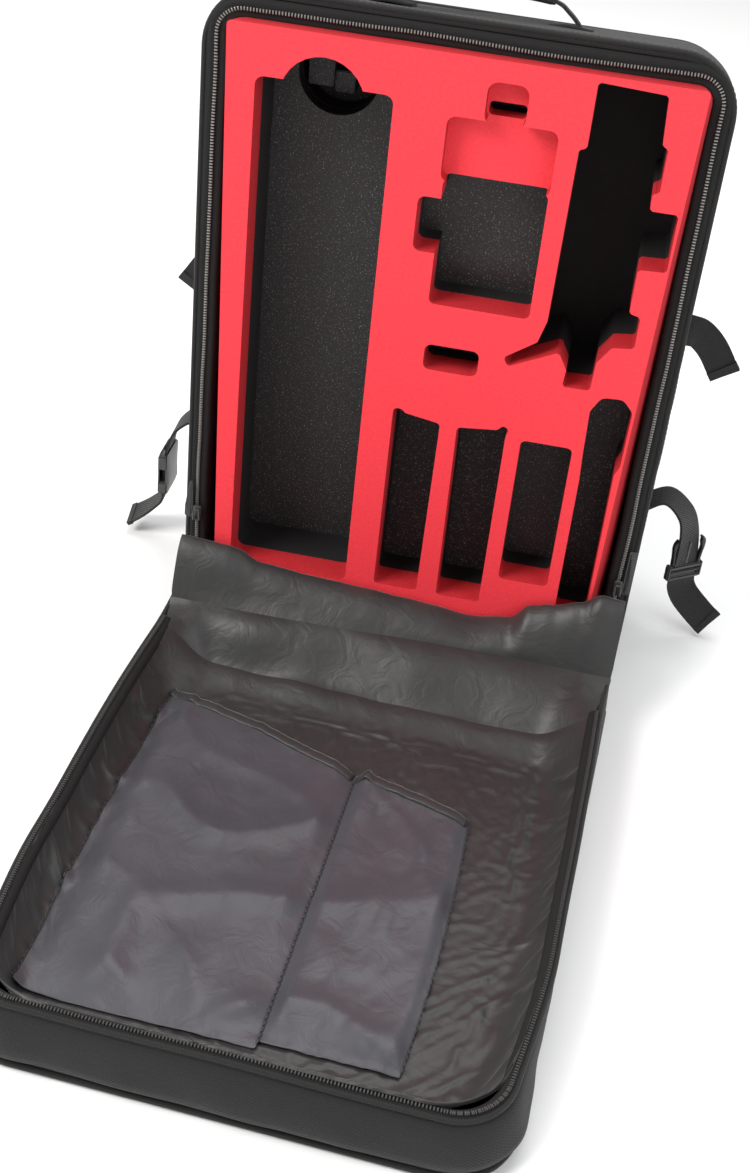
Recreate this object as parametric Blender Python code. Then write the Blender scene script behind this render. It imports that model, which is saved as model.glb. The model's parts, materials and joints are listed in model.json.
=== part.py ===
"""Backpack carrying case for a drone or camera gimbal.

A soft upright pack with a fitted foam insert and a front lid that zips open on three sides
and folds down on a fabric hinge. It is modelled with the lid open, lying on the ground.

Metres, +Z up, open front towards -Y. Everything is laid out with y measured from the foam's
front face, and at the end moved so that the origin is on the ground under the middle of the base.
"""

import math

import bmesh
import bpy
from mathutils import Matrix, Vector

# ---- driving dimensions ----
HALF_WIDTH = 0.174
HEIGHT = 0.506  # at the rim
CROWN_SLOPE = 0.246  # how fast the top falls towards the back
SEAT_Z = 0.014  # top of the base panel
WALL = 0.0075
RIM_Y = 0.012  # front edge of the body's walls, just behind the foam's front face
BACK_Y = 0.138  # inner face of the back panel
BACK_THICK = 0.012
OUTER_BACK_Y = BACK_Y + BACK_THICK
CORNER = 0.040  # outer radius of the pack's upper corners
BASE_MIDDLE_Y = 0.081
GAP = 0.0003  # what touching pieces keep clear of each other

FOAM_LEFT, FOAM_BOTTOM = -0.150, 0.056  # where the pockets are measured from
FOAM_TOP = 0.4865
FOAM_FRONT = ((-0.1475, -0.1555), (0.1455, 0.1553))  # the soft block narrows towards its foot
FOAM_BACK = ((-0.1500, -0.1570), (0.1535, 0.1611))
RED_DEPTH, MIDDLE_END, BASE_END = 0.024, 0.0723, 0.1326  # how deep each layer reaches

HINGE = Vector((-HALF_WIDTH, 0.006, 0.052))  # left end of the lid's fold
LID_SKEW = math.radians(-3)  # the soft fold lets the open lid lie slightly to one side
LID_FACE_Y = -0.046  # outer face of the closed lid
LID_RIM_Y = 0.003
LID_WALL = 0.0035
LID_BOTTOM, LID_TOP = 0.0545, HEIGHT

CHAIN_HALF_W, CHAIN_TOP = 0.1665, 0.4945  # outer edge of the zip's teeth
CHAIN_W, CHAIN_T = 0.004, 0.0024
TAPE_HALF_W, TAPE_TOP, TAPE_T = 0.1622, 0.4900, 0.001  # inner edge of the tape
SLIDER_Z = 0.104
STRAP_W, STRAP_T = 0.056, 0.011
WEB_W, WEB_T = 0.025, 0.0022
BUCKLE_X, BUCKLE_Y = 0.2215, 0.124
BUCKLE_TWIST = math.radians(-55)  # the right strap twists until its buckle faces forward

BLACK_CLOTH = (0.012, 0.012, 0.013)


# ---- building blocks ----
def material(name, color, roughness, metallic=0.0):
    found = bpy.data.materials.get(name) or bpy.data.materials.new(name)
    found.use_nodes = True
    shader = found.node_tree.nodes["Principled BSDF"]
    shader.inputs["Base Color"].default_value = (*color, 1)
    shader.inputs["Roughness"].default_value = roughness
    shader.inputs["Metallic"].default_value = metallic
    return found


def add(name, bm, finish, parent=None):
    """Turns a bmesh into a named object with its own copy of a finish."""
    bmesh.ops.remove_doubles(bm, verts=bm.verts, dist=1e-6)
    bmesh.ops.recalc_face_normals(bm, faces=bm.faces)
    mesh = bpy.data.meshes.new(name)
    bm.to_mesh(mesh)
    bm.free()
    obj = bpy.data.objects.new(name, mesh)
    bpy.context.scene.collection.objects.link(obj)
    obj.data.materials.append(material(name, *finish))
    if parent:
        obj.parent = parent
    return obj


def helper(obj):
    obj.hide_render = True
    obj.display_type = "WIRE"
    return obj


def cut(obj, cutter):
    modifier = obj.modifiers.new(cutter.name, "BOOLEAN")
    modifier.object = cutter
    modifier.operation = "DIFFERENCE"
    modifier.solver = "EXACT"


def rounded(points, radii, steps=4):
    """An outline with each corner replaced by an arc of its own radius."""
    out = []
    count = len(points)
    for i, corner in enumerate(points):
        radius = radii[i] if isinstance(radii, (list, tuple)) else radii
        here = Vector(corner)
        to_last = (Vector(points[i - 1]) - here).normalized()
        to_next = (Vector(points[(i + 1) % count]) - here).normalized()
        half = to_last.angle(to_next) / 2
        if radius <= 0 or half > 1.55:
            out.append(here)
            continue
        reach = radius / math.tan(half)
        start, end = here + to_last * reach, here + to_next * reach
        centre = here + (to_last + to_next).normalized() * radius / math.sin(half)
        turn = (start - centre).angle_signed(end - centre)
        for k in range(steps + 1):
            spoke = (start - centre).copy()
            spoke.rotate(Matrix.Rotation(-turn * k / steps, 2))
            out.append(centre + spoke)
    return out


def loft(name, first, y0, last, y1, finish, parent=None):
    """A solid between two outlines of (x, z) points with the same number of points."""
    bm = bmesh.new()
    rings = [[bm.verts.new((x, y, z)) for x, z in ring] for y, ring in ((y0, first), (y1, last))]
    for k in range(len(first)):
        bm.faces.new((rings[0][k - 1], rings[0][k], rings[1][k], rings[1][k - 1]))
    bm.faces.new(rings[0])
    bm.faces.new(rings[1])
    return add(name, bm, finish, parent)


def slab(name, outline, y0, y1, finish, parent=None):
    return loft(name, outline, y0, outline, y1, finish, parent)


def crown_z(y):
    """Height of the pack's top, y behind the foam's front face."""
    return HEIGHT - CROWN_SLOPE * (y - RIM_Y)


def sloped(name, outline, y0, y1, finish):
    """A slab whose heights shrink towards the back, as the crown does."""
    rings = []
    for y in (y0, y1):
        share = (crown_z(y) - SEAT_Z) / (HEIGHT - SEAT_Z)
        rings.append([(x, SEAT_Z + (z - SEAT_Z) * share) for x, z in outline])
    return loft(name, rings[0], y0, rings[1], y1, finish)


def box(name, low, high, finish, parent=None, bevel=0.0):
    bm = bmesh.new()
    bmesh.ops.create_cube(bm, size=1)
    size = Vector(high) - Vector(low)
    bmesh.ops.scale(bm, vec=size, verts=bm.verts)
    bmesh.ops.translate(bm, vec=(Vector(high) + Vector(low)) / 2, verts=bm.verts)
    if bevel:
        bmesh.ops.bevel(bm, geom=bm.edges[:], offset=bevel, segments=2, affect="EDGES")
    return add(name, bm, finish, parent)


def smooth_path(points, per_span=4):
    """A Catmull-Rom curve through the points."""
    points = [Vector(p) for p in points]
    padded = [2 * points[0] - points[1], *points, 2 * points[-1] - points[-2]]
    out = []
    for a, b, c, d in zip(padded, padded[1:], padded[2:], padded[3:]):
        for k in range(per_span):
            t = k / per_span
            out.append(
                0.5 * (2 * b + (c - a) * t + (2 * a - 5 * b + 4 * c - d) * t**2
                       + (3 * b - a - 3 * c + d) * t**3)
            )
    return [*out, points[-1]]


def ribbon(name, points, sides, width, thick, finish, parent=None, per_span=4):
    """A flat band along a smooth path. sides holds the band's width direction at its two ends."""
    path = smooth_path(points, per_span)
    bm = bmesh.new()
    rings = []
    for i, point in enumerate(path):
        along = (path[min(i + 1, len(path) - 1)] - path[max(i - 1, 0)]).normalized()
        side = Vector(sides[0]).lerp(Vector(sides[1]), i / (len(path) - 1))
        side = (side - along * side.dot(along)).normalized() * width / 2
        up = along.cross(side).normalized() * thick / 2
        corners = (side + up, side - up, -side - up, -side + up)
        rings.append([bm.verts.new(point + corner) for corner in corners])
    for a, b in zip(rings, rings[1:]):
        for k in range(4):
            bm.faces.new((a[k], a[k - 1], b[k - 1], b[k]))
    bm.faces.new(rings[0])
    bm.faces.new(rings[-1][::-1])
    return add(name, bm, finish, parent)


def pivot(name, at, rotation=None):
    empty = bpy.data.objects.new(name, None)
    bpy.context.scene.collection.objects.link(empty)
    turn = rotation.to_4x4() if rotation else Matrix.Identity(4)
    empty.matrix_world = Matrix.Translation(at) @ turn
    return empty


def hang_on(empty, *objects):
    """Parents objects that were made in world coordinates, keeping them in place."""
    for obj in objects:
        obj.parent = empty
        obj.matrix_parent_inverse = empty.matrix_world.inverted()


# ---- body of the pack ----
def u_band(half_w, top, bottom, radius, wall):
    """The outline of an upside-down U: left leg, rounded top, right leg, of an even wall."""
    outer = rounded([(-half_w, bottom), (-half_w, top), (half_w, top), (half_w, bottom)],
                    [0, radius, radius, 0], 5)
    inner = rounded(
        [(-half_w + wall, bottom), (-half_w + wall, top - wall),
         (half_w - wall, top - wall), (half_w - wall, bottom)],
        [0, max(radius - wall, 0.001), max(radius - wall, 0.001), 0], 5)
    return outer, inner


def u_pieces(outer, inner):
    """Splits a U band into its left leg, its top with both corners, and its right leg."""
    joint = outer[1].y - GAP
    left = [outer[0], (outer[1].x, joint), (inner[1].x, joint), inner[0]]
    right = [outer[-1], (outer[-2].x, joint), (inner[-2].x, joint), inner[-1]]
    return left, [*outer[1:-1], *inner[-2:0:-1]], right


def make_body():
    cloth = (BLACK_CLOTH, 0.85)
    lining = ((0.02, 0.02, 0.022), 0.6)
    outer, inner = u_band(HALF_WIDTH, HEIGHT, SEAT_Z, CORNER, WALL)
    for part, outline in zip(("left_side", "top", "right_side"), u_pieces(outer, inner)):
        sloped(f"{part}_panel", outline, RIM_Y, BACK_Y - GAP, cloth)
    low, high = SEAT_Z - GAP, OUTER_BACK_Y
    base = rounded([(-HALF_WIDTH, 0), (HALF_WIDTH, 0), (HALF_WIDTH, low), (-HALF_WIDTH, low)],
                   [0.004, 0.004, 0, 0], 2)
    slab("base_panel", base, RIM_Y, high, cloth)
    edge = HALF_WIDTH - WALL - GAP
    box("base_front_panel", (-edge, RIM_Y, SEAT_Z), (edge, RIM_Y + 0.010, 0.050), cloth)
    box("foam_riser", (-edge, RIM_Y + 0.0103, SEAT_Z), (edge, BACK_Y - GAP, 0.0555), lining)
    sloped("back_panel", outer, BACK_Y, OUTER_BACK_Y, cloth)
    for name, sign in (("left_back_pad", -1), ("right_back_pad", 1)):
        pad = rounded([(sign * 0.012, 0.110), (sign * 0.140, 0.110),
                       (sign * 0.120, 0.395), (sign * 0.012, 0.395)], 0.022, 4)
        slab(name, pad, OUTER_BACK_Y + GAP, OUTER_BACK_Y + 0.013, ((0.02, 0.02, 0.02), 0.9))
    lumbar = rounded([(-0.130, 0.030), (0.130, 0.030), (0.130, 0.098), (-0.130, 0.098)], 0.02, 4)
    slab("lumbar_pad", lumbar, OUTER_BACK_Y + GAP, OUTER_BACK_Y + 0.016, ((0.02, 0.02, 0.02), 0.9))


def u_outline(half_w, top, bottom, radius):
    return rounded([(-half_w, bottom), (-half_w, top), (half_w, top), (half_w, bottom)],
                   [0, radius, radius, 0], 5)


def make_zip(owner, bottom, y, toward):
    """Tape and teeth on one side of the zip. toward is the way its teeth face, 1 or -1."""
    tape_y = sorted((y + toward * GAP, y + toward * (GAP + TAPE_T)))
    chain_start = y + toward * (2 * GAP + TAPE_T)
    chain_y = sorted((chain_start, chain_start + toward * CHAIN_T))
    tape = [*u_outline(HALF_WIDTH - 0.0005, HEIGHT - 0.001, bottom, CORNER - 0.001),
            *u_outline(TAPE_HALF_W, TAPE_TOP, bottom, 0.014)[::-1]]
    chain = [*u_outline(CHAIN_HALF_W, CHAIN_TOP, bottom, 0.020),
             *u_outline(CHAIN_HALF_W - CHAIN_W, CHAIN_TOP - CHAIN_W, bottom, 0.016)[::-1]]
    return [slab(f"{owner}_zip_tape", tape, *tape_y, ((0.008, 0.008, 0.008), 0.9)),
            slab(f"{owner}_zip_chain", chain, *chain_y, ((0.05, 0.05, 0.05), 0.45))]


def make_sliders():
    front = RIM_Y - 3 * GAP - TAPE_T - CHAIN_T
    chrome = ((0.55, 0.55, 0.56), 0.2, 1.0)
    for side, sign in (("left", -1), ("right", 1)):
        x = sign * (CHAIN_HALF_W - CHAIN_W / 2)
        slider = box(f"{side}_zip_slider", (x - 0.0034, front - 0.0045, SLIDER_Z - 0.007),
                     (x + 0.0034, front, SLIDER_Z + 0.007), chrome, bevel=0.001)
        hang_on(pivot(f"{side}_slider_track", (x, front, SLIDER_Z)), slider)
        near, far = sorted((sign * 0.1682, sign * 0.1738))
        low, hinge_y = SLIDER_Z - 0.004, 0.0064
        bar = rounded([(near, low), (far, low), (far, low + 0.038), (near, low + 0.038)], 0.0014, 2)
        puller = slab(f"{side}_zip_puller", bar, hinge_y - 0.001, hinge_y + 0.001,
                      ((0.01, 0.01, 0.01), 0.4))
        hang_on(pivot(f"{side}_puller_hinge", (near, hinge_y, low + 0.002)), puller)


# ---- foam insert ----
def on_foam(*points):
    """Millimetres across and up the foam's front face to (x, z) in metres."""
    return [(FOAM_LEFT + u / 1000, FOAM_BOTTOM + v / 1000) for u, v in points]


def rectangle(u0, v0, u1, v1, radius, steps=4):
    return rounded(on_foam((u0, v0), (u0, v1), (u1, v1), (u1, v0)), radius / 1000, steps)


def round_hole(u, v, radius, steps=28):
    turns = [2 * math.pi * k / steps for k in range(steps)]
    return on_foam(*((u + radius * math.cos(a), v + radius * math.sin(a)) for a in turns))


def gimbal_outline():
    """Outline of the folded gimbal: a long body, two side clamps, a grip and a folded leg."""
    points = [(235, 383), (235, 426), (280, 424), (282, 391), (286, 391), (286, 360.5),
              (281.5, 360), (282, 348), (301, 348), (301, 307.5), (282, 306.5), (282, 274.5),
              (290, 272.5), (290, 249), (275, 247), (266.5, 234), (265.5, 212), (246, 211.5),
              (247, 224.5), (240, 237), (206, 220), (202.5, 226.5), (224, 242), (228.5, 259),
              (230, 381)]
    return rounded(on_foam(*points), 0.0018, 1)


POCKETS = {  # name: (outline, depth)
    "tray_pocket": (rectangle(15, 14, 107, 397.5, 6), 0.060),
    "lens_hole": (round_hole(60, 387, 28.5), 0.092),
    "screen_recess": (rectangle(143, 346, 216, 390.5, 6), 0.012),
    "screen_tab": (rectangle(166.5, 388, 193.5, 416.5, 7), 0.012),
    "card_slot": (rectangle(168, 391.5, 193, 400.5, 3), 0.034),
    "screen_pocket": (rectangle(145.3, 258, 215.6, 348, 4), 0.040),
    "screen_grip": (rectangle(130, 295, 150, 334, 5), 0.040),
    "battery_pocket": (rectangle(146.7, 207.5, 185.5, 227, 5), 0.036),
    "gimbal_pocket": (gimbal_outline(), 0.066),
    "first_slot": (
        rounded(on_foam((129.5, 17), (129.5, 173), (136, 172), (138.5, 169.5), (164.5, 165.5),
                        (163, 17)), 0.003, 2), 0.044),
    "second_slot": (
        rounded(on_foam((178.5, 17), (177, 165), (206, 168.5), (210, 173), (214, 170),
                        (212.5, 164), (212, 17)), 0.0025, 2), 0.044),
    "third_slot": (rectangle(224, 42, 261.5, 163.5, 4), 0.040),
    "fourth_slot": (
        rounded(on_foam((270.5, 17), (270.3, 139), (269.5, 155), (268.5, 196), (275, 208),
                        (290, 209), (298, 200), (297.2, 156), (294, 148), (294, 17)),
                [0.004, 0.003, 0.003, 0.006, 0.006, 0.006, 0.006, 0.003, 0.003, 0.004], 2), 0.044),
}


def foam_section(edges, top, radius):
    """The block's outline: edges holds its left and right sides, each at the foot and at the top."""
    (left_foot, left_top), (right_foot, right_top) = edges
    return rounded([(left_foot, FOAM_BOTTOM), (left_top, top), (right_top, top),
                    (right_foot, FOAM_BOTTOM)], [0.003, radius, radius, 0.003], 4)


def make_foam():
    red = ((0.90, 0.075, 0.09), 0.8)
    black = ((0.03, 0.03, 0.03), 0.9)
    layers = []
    for name, y0, y1, first, last, finish in (
        ("foam_top_layer", 0, RED_DEPTH, (FOAM_FRONT, FOAM_TOP, 0.003),
         (FOAM_BACK, FOAM_TOP, 0.020), red),
        ("foam_middle_layer", RED_DEPTH + GAP, MIDDLE_END, (FOAM_BACK, FOAM_TOP, 0.020),
         (FOAM_BACK, 0.483, 0.030), black),
        ("foam_base_layer", MIDDLE_END + GAP, BASE_END, (FOAM_BACK, 0.4825, 0.030),
         (FOAM_BACK, 0.467, 0.032), black),
    ):
        layer = loft(name, foam_section(*first), y0, foam_section(*last), y1, finish)
        layers.append((layer, y0))
    for name, (outline, depth) in POCKETS.items():
        cutter = helper(slab(f"{name}_cutter", outline, -0.010, depth, black))
        for layer, begins in layers:
            if depth > begins:
                cut(layer, cutter)
    hang_on(pivot("insert_track", (0, 0, FOAM_BOTTOM)), *(layer for layer, _ in layers))


# ---- lid, made closed and then folded open ----
def make_lid():
    cloth = (BLACK_CLOTH, 0.85)
    lining = ((0.045, 0.045, 0.05), 0.5)
    inner_y = LID_FACE_Y + 0.0045
    outline = rounded([(-HALF_WIDTH, LID_BOTTOM), (-HALF_WIDTH, LID_TOP),
                       (HALF_WIDTH, LID_TOP), (HALF_WIDTH, LID_BOTTOM)], [0, CORNER, CORNER, 0], 5)
    pieces = [slab("lid_front_panel", outline, LID_FACE_Y, inner_y, cloth)]
    bottom = LID_BOTTOM + LID_WALL + GAP
    outer, inner = u_band(HALF_WIDTH, LID_TOP, bottom, CORNER, LID_WALL)
    left, top, right = u_pieces(outer, inner)
    walls = (("lid_left_wall", left), ("lid_top_wall", top), ("lid_right_wall", right))
    for name, shape in walls:
        pieces.append(slab(name, shape, inner_y + GAP, LID_RIM_Y, cloth))
    pieces.append(box("lid_hinge_wall", (-HALF_WIDTH, inner_y + GAP, LID_BOTTOM),
                      (HALF_WIDTH, -0.001, LID_BOTTOM + LID_WALL), cloth))
    pieces += make_zip("lid", SLIDER_Z + 0.009, LID_RIM_Y, 1)
    pocket = {"lid_wide_pocket": (-0.160, 0.040), "lid_narrow_pocket": (0.041, 0.160)}
    for name, (x0, x1) in pocket.items():
        sheet = rounded([(x0, 0.170), (x0, 0.480), (x1, 0.480), (x1, 0.170)],
                        [0.004, 0.025, 0.025, 0.004], 3)
        pieces.append(slab(name, sheet, inner_y + GAP, inner_y + 0.0048, lining))
    open_turn = Matrix.Rotation(LID_SKEW, 3, "Z") @ Matrix.Rotation(math.radians(90), 3, "X")
    fold = pivot("lid_fold", HINGE)
    hang_on(fold, *pieces)
    fold.matrix_world = Matrix.Translation(HINGE) @ open_turn.to_4x4()


# ---- harness ----
def mirrored(points, sign):
    return [(sign * x, y, z) for x, y, z in points]


def make_handle():
    cloth = ((0.015, 0.015, 0.015), 0.8)
    y = 0.070
    hinge_z = crown_z(y) + 0.011
    arch = [(-0.058, y, hinge_z), (-0.048, y, hinge_z + 0.006), (-0.024, y, hinge_z + 0.009),
            (0.024, y, hinge_z + 0.009), (0.048, y, hinge_z + 0.006), (0.058, y, hinge_z)]
    across = (0, 1, -CROWN_SLOPE)
    handle = ribbon("top_handle", arch, (across, across), 0.022, 0.007, cloth, per_span=3)
    hang_on(pivot("handle_hinge", (0, y, hinge_z)), handle)
    for side, sign in (("left", -1), ("right", 1)):
        x, z = sign * 0.060, crown_z(y) + 0.0003
        flap = rounded([(x - 0.015, z), (x + 0.015, z), (x + 0.015, z + 0.003), (x - 0.015, z + 0.003)],
                       0.001, 1)
        drop = CROWN_SLOPE * 0.014
        loft(f"{side}_handle_anchor", [(a, b + drop) for a, b in flap], y - 0.014,
             [(a, b - drop) for a, b in flap], y + 0.014, cloth)


def make_shoulder_strap(side, sign):
    cloth = ((0.015, 0.015, 0.015), 0.85)
    web = ((0.02, 0.02, 0.02), 0.7)
    plastic = ((0.01, 0.01, 0.01), 0.35)
    back = OUTER_BACK_Y
    box(f"{side}_strap_anchor", (sign * 0.055 - 0.030, back + GAP, 0.418),
        (sign * 0.055 + 0.030, back + 0.006, 0.452), cloth)
    route = [(0.055, 0.1670, 0.434), (0.060, 0.190, 0.449), (0.076, 0.212, 0.430),
             (0.108, 0.218, 0.376), (0.142, 0.206, 0.316), (0.164, 0.190, 0.268)]
    strap = ribbon(f"{side}_shoulder_strap", mirrored(route, sign),
                   ((1, 0, 0), (0.93, -0.25 * sign, 0.25 * sign)), STRAP_W, STRAP_T, cloth)
    lock = box(f"{side}_ladder_lock", (sign * 0.171 - 0.016, 0.1805, 0.226),
               (sign * 0.171 + 0.016, 0.1865, 0.256), plastic, bevel=0.0015)
    tail_route = [(0.190, 0.184, 0.241), (0.198, 0.186, 0.238), (0.210, 0.188, 0.226),
                  (0.224, 0.190, 0.204)]
    tail = ribbon(f"{side}_strap_tail", mirrored(tail_route, sign),
                  ((0, 0.3, 1), (sign * 0.7, 0, 0.7)), WEB_W, WEB_T, web)
    lower_route = [(0.171, 0.1785, 0.250), (0.172, 0.1775, 0.205), (0.168, 0.170, 0.140),
                   (0.158, 0.1605, 0.070)]
    lower = ribbon(f"{side}_lower_webbing", mirrored(lower_route, sign),
                   ((1, 0, 0), (1, 0, 0)), WEB_W, WEB_T, web)
    box(f"{side}_webbing_anchor", (sign * 0.156 - 0.016, back + GAP, 0.028),
        (sign * 0.156 + 0.016, back + 0.006, 0.068), cloth)
    swing = pivot(f"{side}_strap_swing", (sign * 0.110, 0.160, 0.260))
    hang_on(swing, strap, lock, tail, lower)


def turned(objects, x, y, angle):
    """Turns unparented objects about an upright line."""
    turn = (Matrix.Translation((x, y, 0)) @ Matrix.Rotation(angle, 4, "Z")
            @ Matrix.Translation((-x, -y, 0)))
    for obj in objects:
        obj.data.transform(turn)


def make_waist_strap(side, sign):
    web = ((0.02, 0.02, 0.02), 0.7)
    plastic = ((0.01, 0.01, 0.01), 0.35)
    route = [(0.1785, 0.126, 0.112), (0.196, 0.126, 0.121), (0.212, 0.124, 0.110),
             (0.219, 0.124, 0.092)]
    twist = BUCKLE_TWIST if sign > 0 else 0
    facing = (-math.sin(twist), math.cos(twist), 0)
    strap = ribbon(f"{side}_waist_strap", mirrored(route, sign),
                   ((0, 1, 0.1), facing), WEB_W, WEB_T, web)
    x = sign * 0.2215
    if sign > 0:
        tail_route = [(0.2215, 0.124, 0.0405), (0.227, 0.122, 0.032), (0.238, 0.119, 0.022),
                      (0.252, 0.116, 0.011)]
        spread = (facing, (0.70, 0.25, 0.60))
    else:
        tail_route = [(0.2215, 0.124, 0.044), (0.228, 0.124, 0.033), (0.240, 0.124, 0.021),
                      (0.254, 0.124, 0.010)]
        spread = ((0, 1, 0), (0, 1, 0.2))
    tail = ribbon(f"{side}_waist_tail", mirrored(tail_route, sign), spread, WEB_W, WEB_T, web)
    near, far = sorted((sign * (HALF_WIDTH + GAP), sign * (HALF_WIDTH + 0.0016)))
    box(f"{side}_waist_anchor", (near, 0.112, 0.098), (far, 0.1375, 0.126), web)
    pieces = [strap, tail]
    if sign > 0:
        frame = box("right_buckle_frame", (x - 0.003, 0.107, 0.0475), (x + 0.003, 0.141, 0.062),
                    plastic, bevel=0.001)
        pieces.append(frame)
        turned([frame], BUCKLE_X, BUCKLE_Y, BUCKLE_TWIST)
        for name, y in (("buckle_front_prong", 0.1085), ("buckle_back_prong", 0.1335)):
            prong = box(name, (x - 0.0025, y, 0.0624), (x + 0.0025, y + 0.006, 0.086),
                        plastic, bevel=0.0008)
            turned([prong], BUCKLE_X, BUCKLE_Y, BUCKLE_TWIST)
            reach = y + 0.003 - BUCKLE_Y
            root = (BUCKLE_X - reach * math.sin(BUCKLE_TWIST),
                    BUCKLE_Y + reach * math.cos(BUCKLE_TWIST), 0.0624)
            hang_on(pivot(f"{name}_root", root), prong)
    else:
        shell = rounded([(0.107, 0.0475), (0.107, 0.086), (0.141, 0.086), (0.141, 0.0475)], 0.004, 2)
        bm = bmesh.new()
        face = bm.faces.new([bm.verts.new((x - 0.0045, y, z)) for y, z in shell])
        grown = bmesh.ops.extrude_face_region(bm, geom=[face])["geom"]
        bmesh.ops.translate(bm, vec=(0.009, 0, 0),
                            verts=[v for v in grown if isinstance(v, bmesh.types.BMVert)])
        buckle = add("left_buckle_socket", bm, plastic)
        mouth = helper(box("socket_mouth_cutter", (x - 0.0028, 0.111, 0.058),
                           (x + 0.0028, 0.137, 0.090), plastic))
        pieces.append(buckle)
        cut(buckle, mouth)
    hang_on(pivot(f"{side}_waist_swing", (sign * 0.176, 0.128, 0.112)), *pieces)


def main():
    for obj in list(bpy.data.objects):
        bpy.data.objects.remove(obj, do_unlink=True)
    make_body()
    make_zip("body", 0.064, RIM_Y, -1)
    make_sliders()
    make_foam()
    make_lid()
    make_handle()
    for side, sign in (("left", -1), ("right", 1)):
        make_shoulder_strap(side, sign)
        make_waist_strap(side, sign)
    for obj in bpy.data.objects:
        if not obj.parent:
            obj.location.y -= BASE_MIDDLE_Y
    bpy.context.view_layer.update()


main()
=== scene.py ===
"""Looks for the carrying case: cloth, foam, zip, straps and light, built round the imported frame."""

import json
import math

import bmesh
import bpy
from mathutils import Euler, Matrix, Vector, noise
from mathutils.bvhtree import BVHTree
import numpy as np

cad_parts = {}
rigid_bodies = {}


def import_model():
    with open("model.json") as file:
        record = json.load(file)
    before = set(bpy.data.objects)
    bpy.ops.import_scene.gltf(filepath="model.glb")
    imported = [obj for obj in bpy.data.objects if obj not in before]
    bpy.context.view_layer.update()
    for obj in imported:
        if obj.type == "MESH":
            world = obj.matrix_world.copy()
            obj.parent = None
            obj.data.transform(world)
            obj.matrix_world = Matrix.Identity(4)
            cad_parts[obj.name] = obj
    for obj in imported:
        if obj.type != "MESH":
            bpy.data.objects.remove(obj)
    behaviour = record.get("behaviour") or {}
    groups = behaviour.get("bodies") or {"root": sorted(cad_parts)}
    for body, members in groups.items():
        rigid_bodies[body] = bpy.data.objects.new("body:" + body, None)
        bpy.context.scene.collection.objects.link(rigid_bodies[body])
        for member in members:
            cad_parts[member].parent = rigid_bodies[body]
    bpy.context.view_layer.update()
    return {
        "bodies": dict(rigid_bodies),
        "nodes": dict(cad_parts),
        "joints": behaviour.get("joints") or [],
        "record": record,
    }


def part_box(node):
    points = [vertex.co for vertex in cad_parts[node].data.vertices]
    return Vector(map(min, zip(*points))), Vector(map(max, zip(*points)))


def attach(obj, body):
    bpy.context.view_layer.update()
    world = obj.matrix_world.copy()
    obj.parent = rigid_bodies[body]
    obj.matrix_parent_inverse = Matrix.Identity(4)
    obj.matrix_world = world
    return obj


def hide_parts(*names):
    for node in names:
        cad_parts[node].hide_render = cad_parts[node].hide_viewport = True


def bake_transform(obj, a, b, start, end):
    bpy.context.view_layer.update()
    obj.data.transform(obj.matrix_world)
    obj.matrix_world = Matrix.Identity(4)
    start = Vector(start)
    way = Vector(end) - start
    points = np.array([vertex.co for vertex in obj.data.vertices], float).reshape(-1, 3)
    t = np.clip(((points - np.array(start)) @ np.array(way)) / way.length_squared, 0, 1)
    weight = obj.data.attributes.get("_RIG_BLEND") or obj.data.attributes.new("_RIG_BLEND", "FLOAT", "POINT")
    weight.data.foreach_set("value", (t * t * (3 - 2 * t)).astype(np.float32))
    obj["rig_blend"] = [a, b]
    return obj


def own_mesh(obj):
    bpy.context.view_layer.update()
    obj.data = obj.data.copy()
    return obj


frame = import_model()

# ---- dimensions, in metres; y is measured from the foam's front face ----
FACE_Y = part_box("foam_top_layer")[0].y
HALF_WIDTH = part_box("base_panel")[1].x
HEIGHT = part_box("top_panel")[1].z
SEAT_Z = 0.014
WALL = 0.0075
RIM_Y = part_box("top_panel")[0].y - FACE_Y
BACK_Y, OUTER_BACK_Y = 0.138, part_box("back_panel")[1].y - FACE_Y
CROWN_SLOPE = 0.246
CORNER = 0.040
TAPE_MIDDLE_X, TAPE_MIDDLE_Z = 0.1645, 0.4925  # the line of the zip's teeth
SLIDER_Z = (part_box("left_zip_slider")[0].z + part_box("left_zip_slider")[1].z) / 2
TOOTH_PITCH = 0.0021
LID_SKEW = math.radians(-3)
LID_LENGTH = 0.4535
LID_WIDTH = 2 * HALF_WIDTH
LID_MIDDLE = 0.174
FOAM_LEFT, FOAM_BOTTOM = -0.150, 0.056


# ---- finishes ----
def srgb(text):
    """Linear colour of an sRGB hex value."""
    parts = [int(text[i:i + 2], 16) / 255 for i in (1, 3, 5)]
    return (*(c / 12.92 if c <= 0.04045 else ((c + 0.055) / 1.055) ** 2.4 for c in parts), 1)


def add_node(tree, kind, inputs=None, **settings):
    """Adds a node. An input is a plain value, or (node, output) to link from."""
    made = tree.nodes.new(kind)
    for key, value in settings.items():
        setattr(made, key, value)
    for key, value in (inputs or {}).items():
        if isinstance(value, tuple) and isinstance(value[0], bpy.types.Node):
            tree.links.new(value[0].outputs[value[1]], made.inputs[key])
        else:
            made.inputs[key].default_value = value
    return made


def new_finish(name, **constants):
    """A material whose shader has the given constant sockets."""
    made = bpy.data.materials.new(name)
    made.use_nodes = True
    tree = made.node_tree
    shader = tree.nodes["Principled BSDF"]
    for key, value in constants.items():
        shader.inputs[key.replace("_", " ")].default_value = value
    return made, tree, shader


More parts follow.
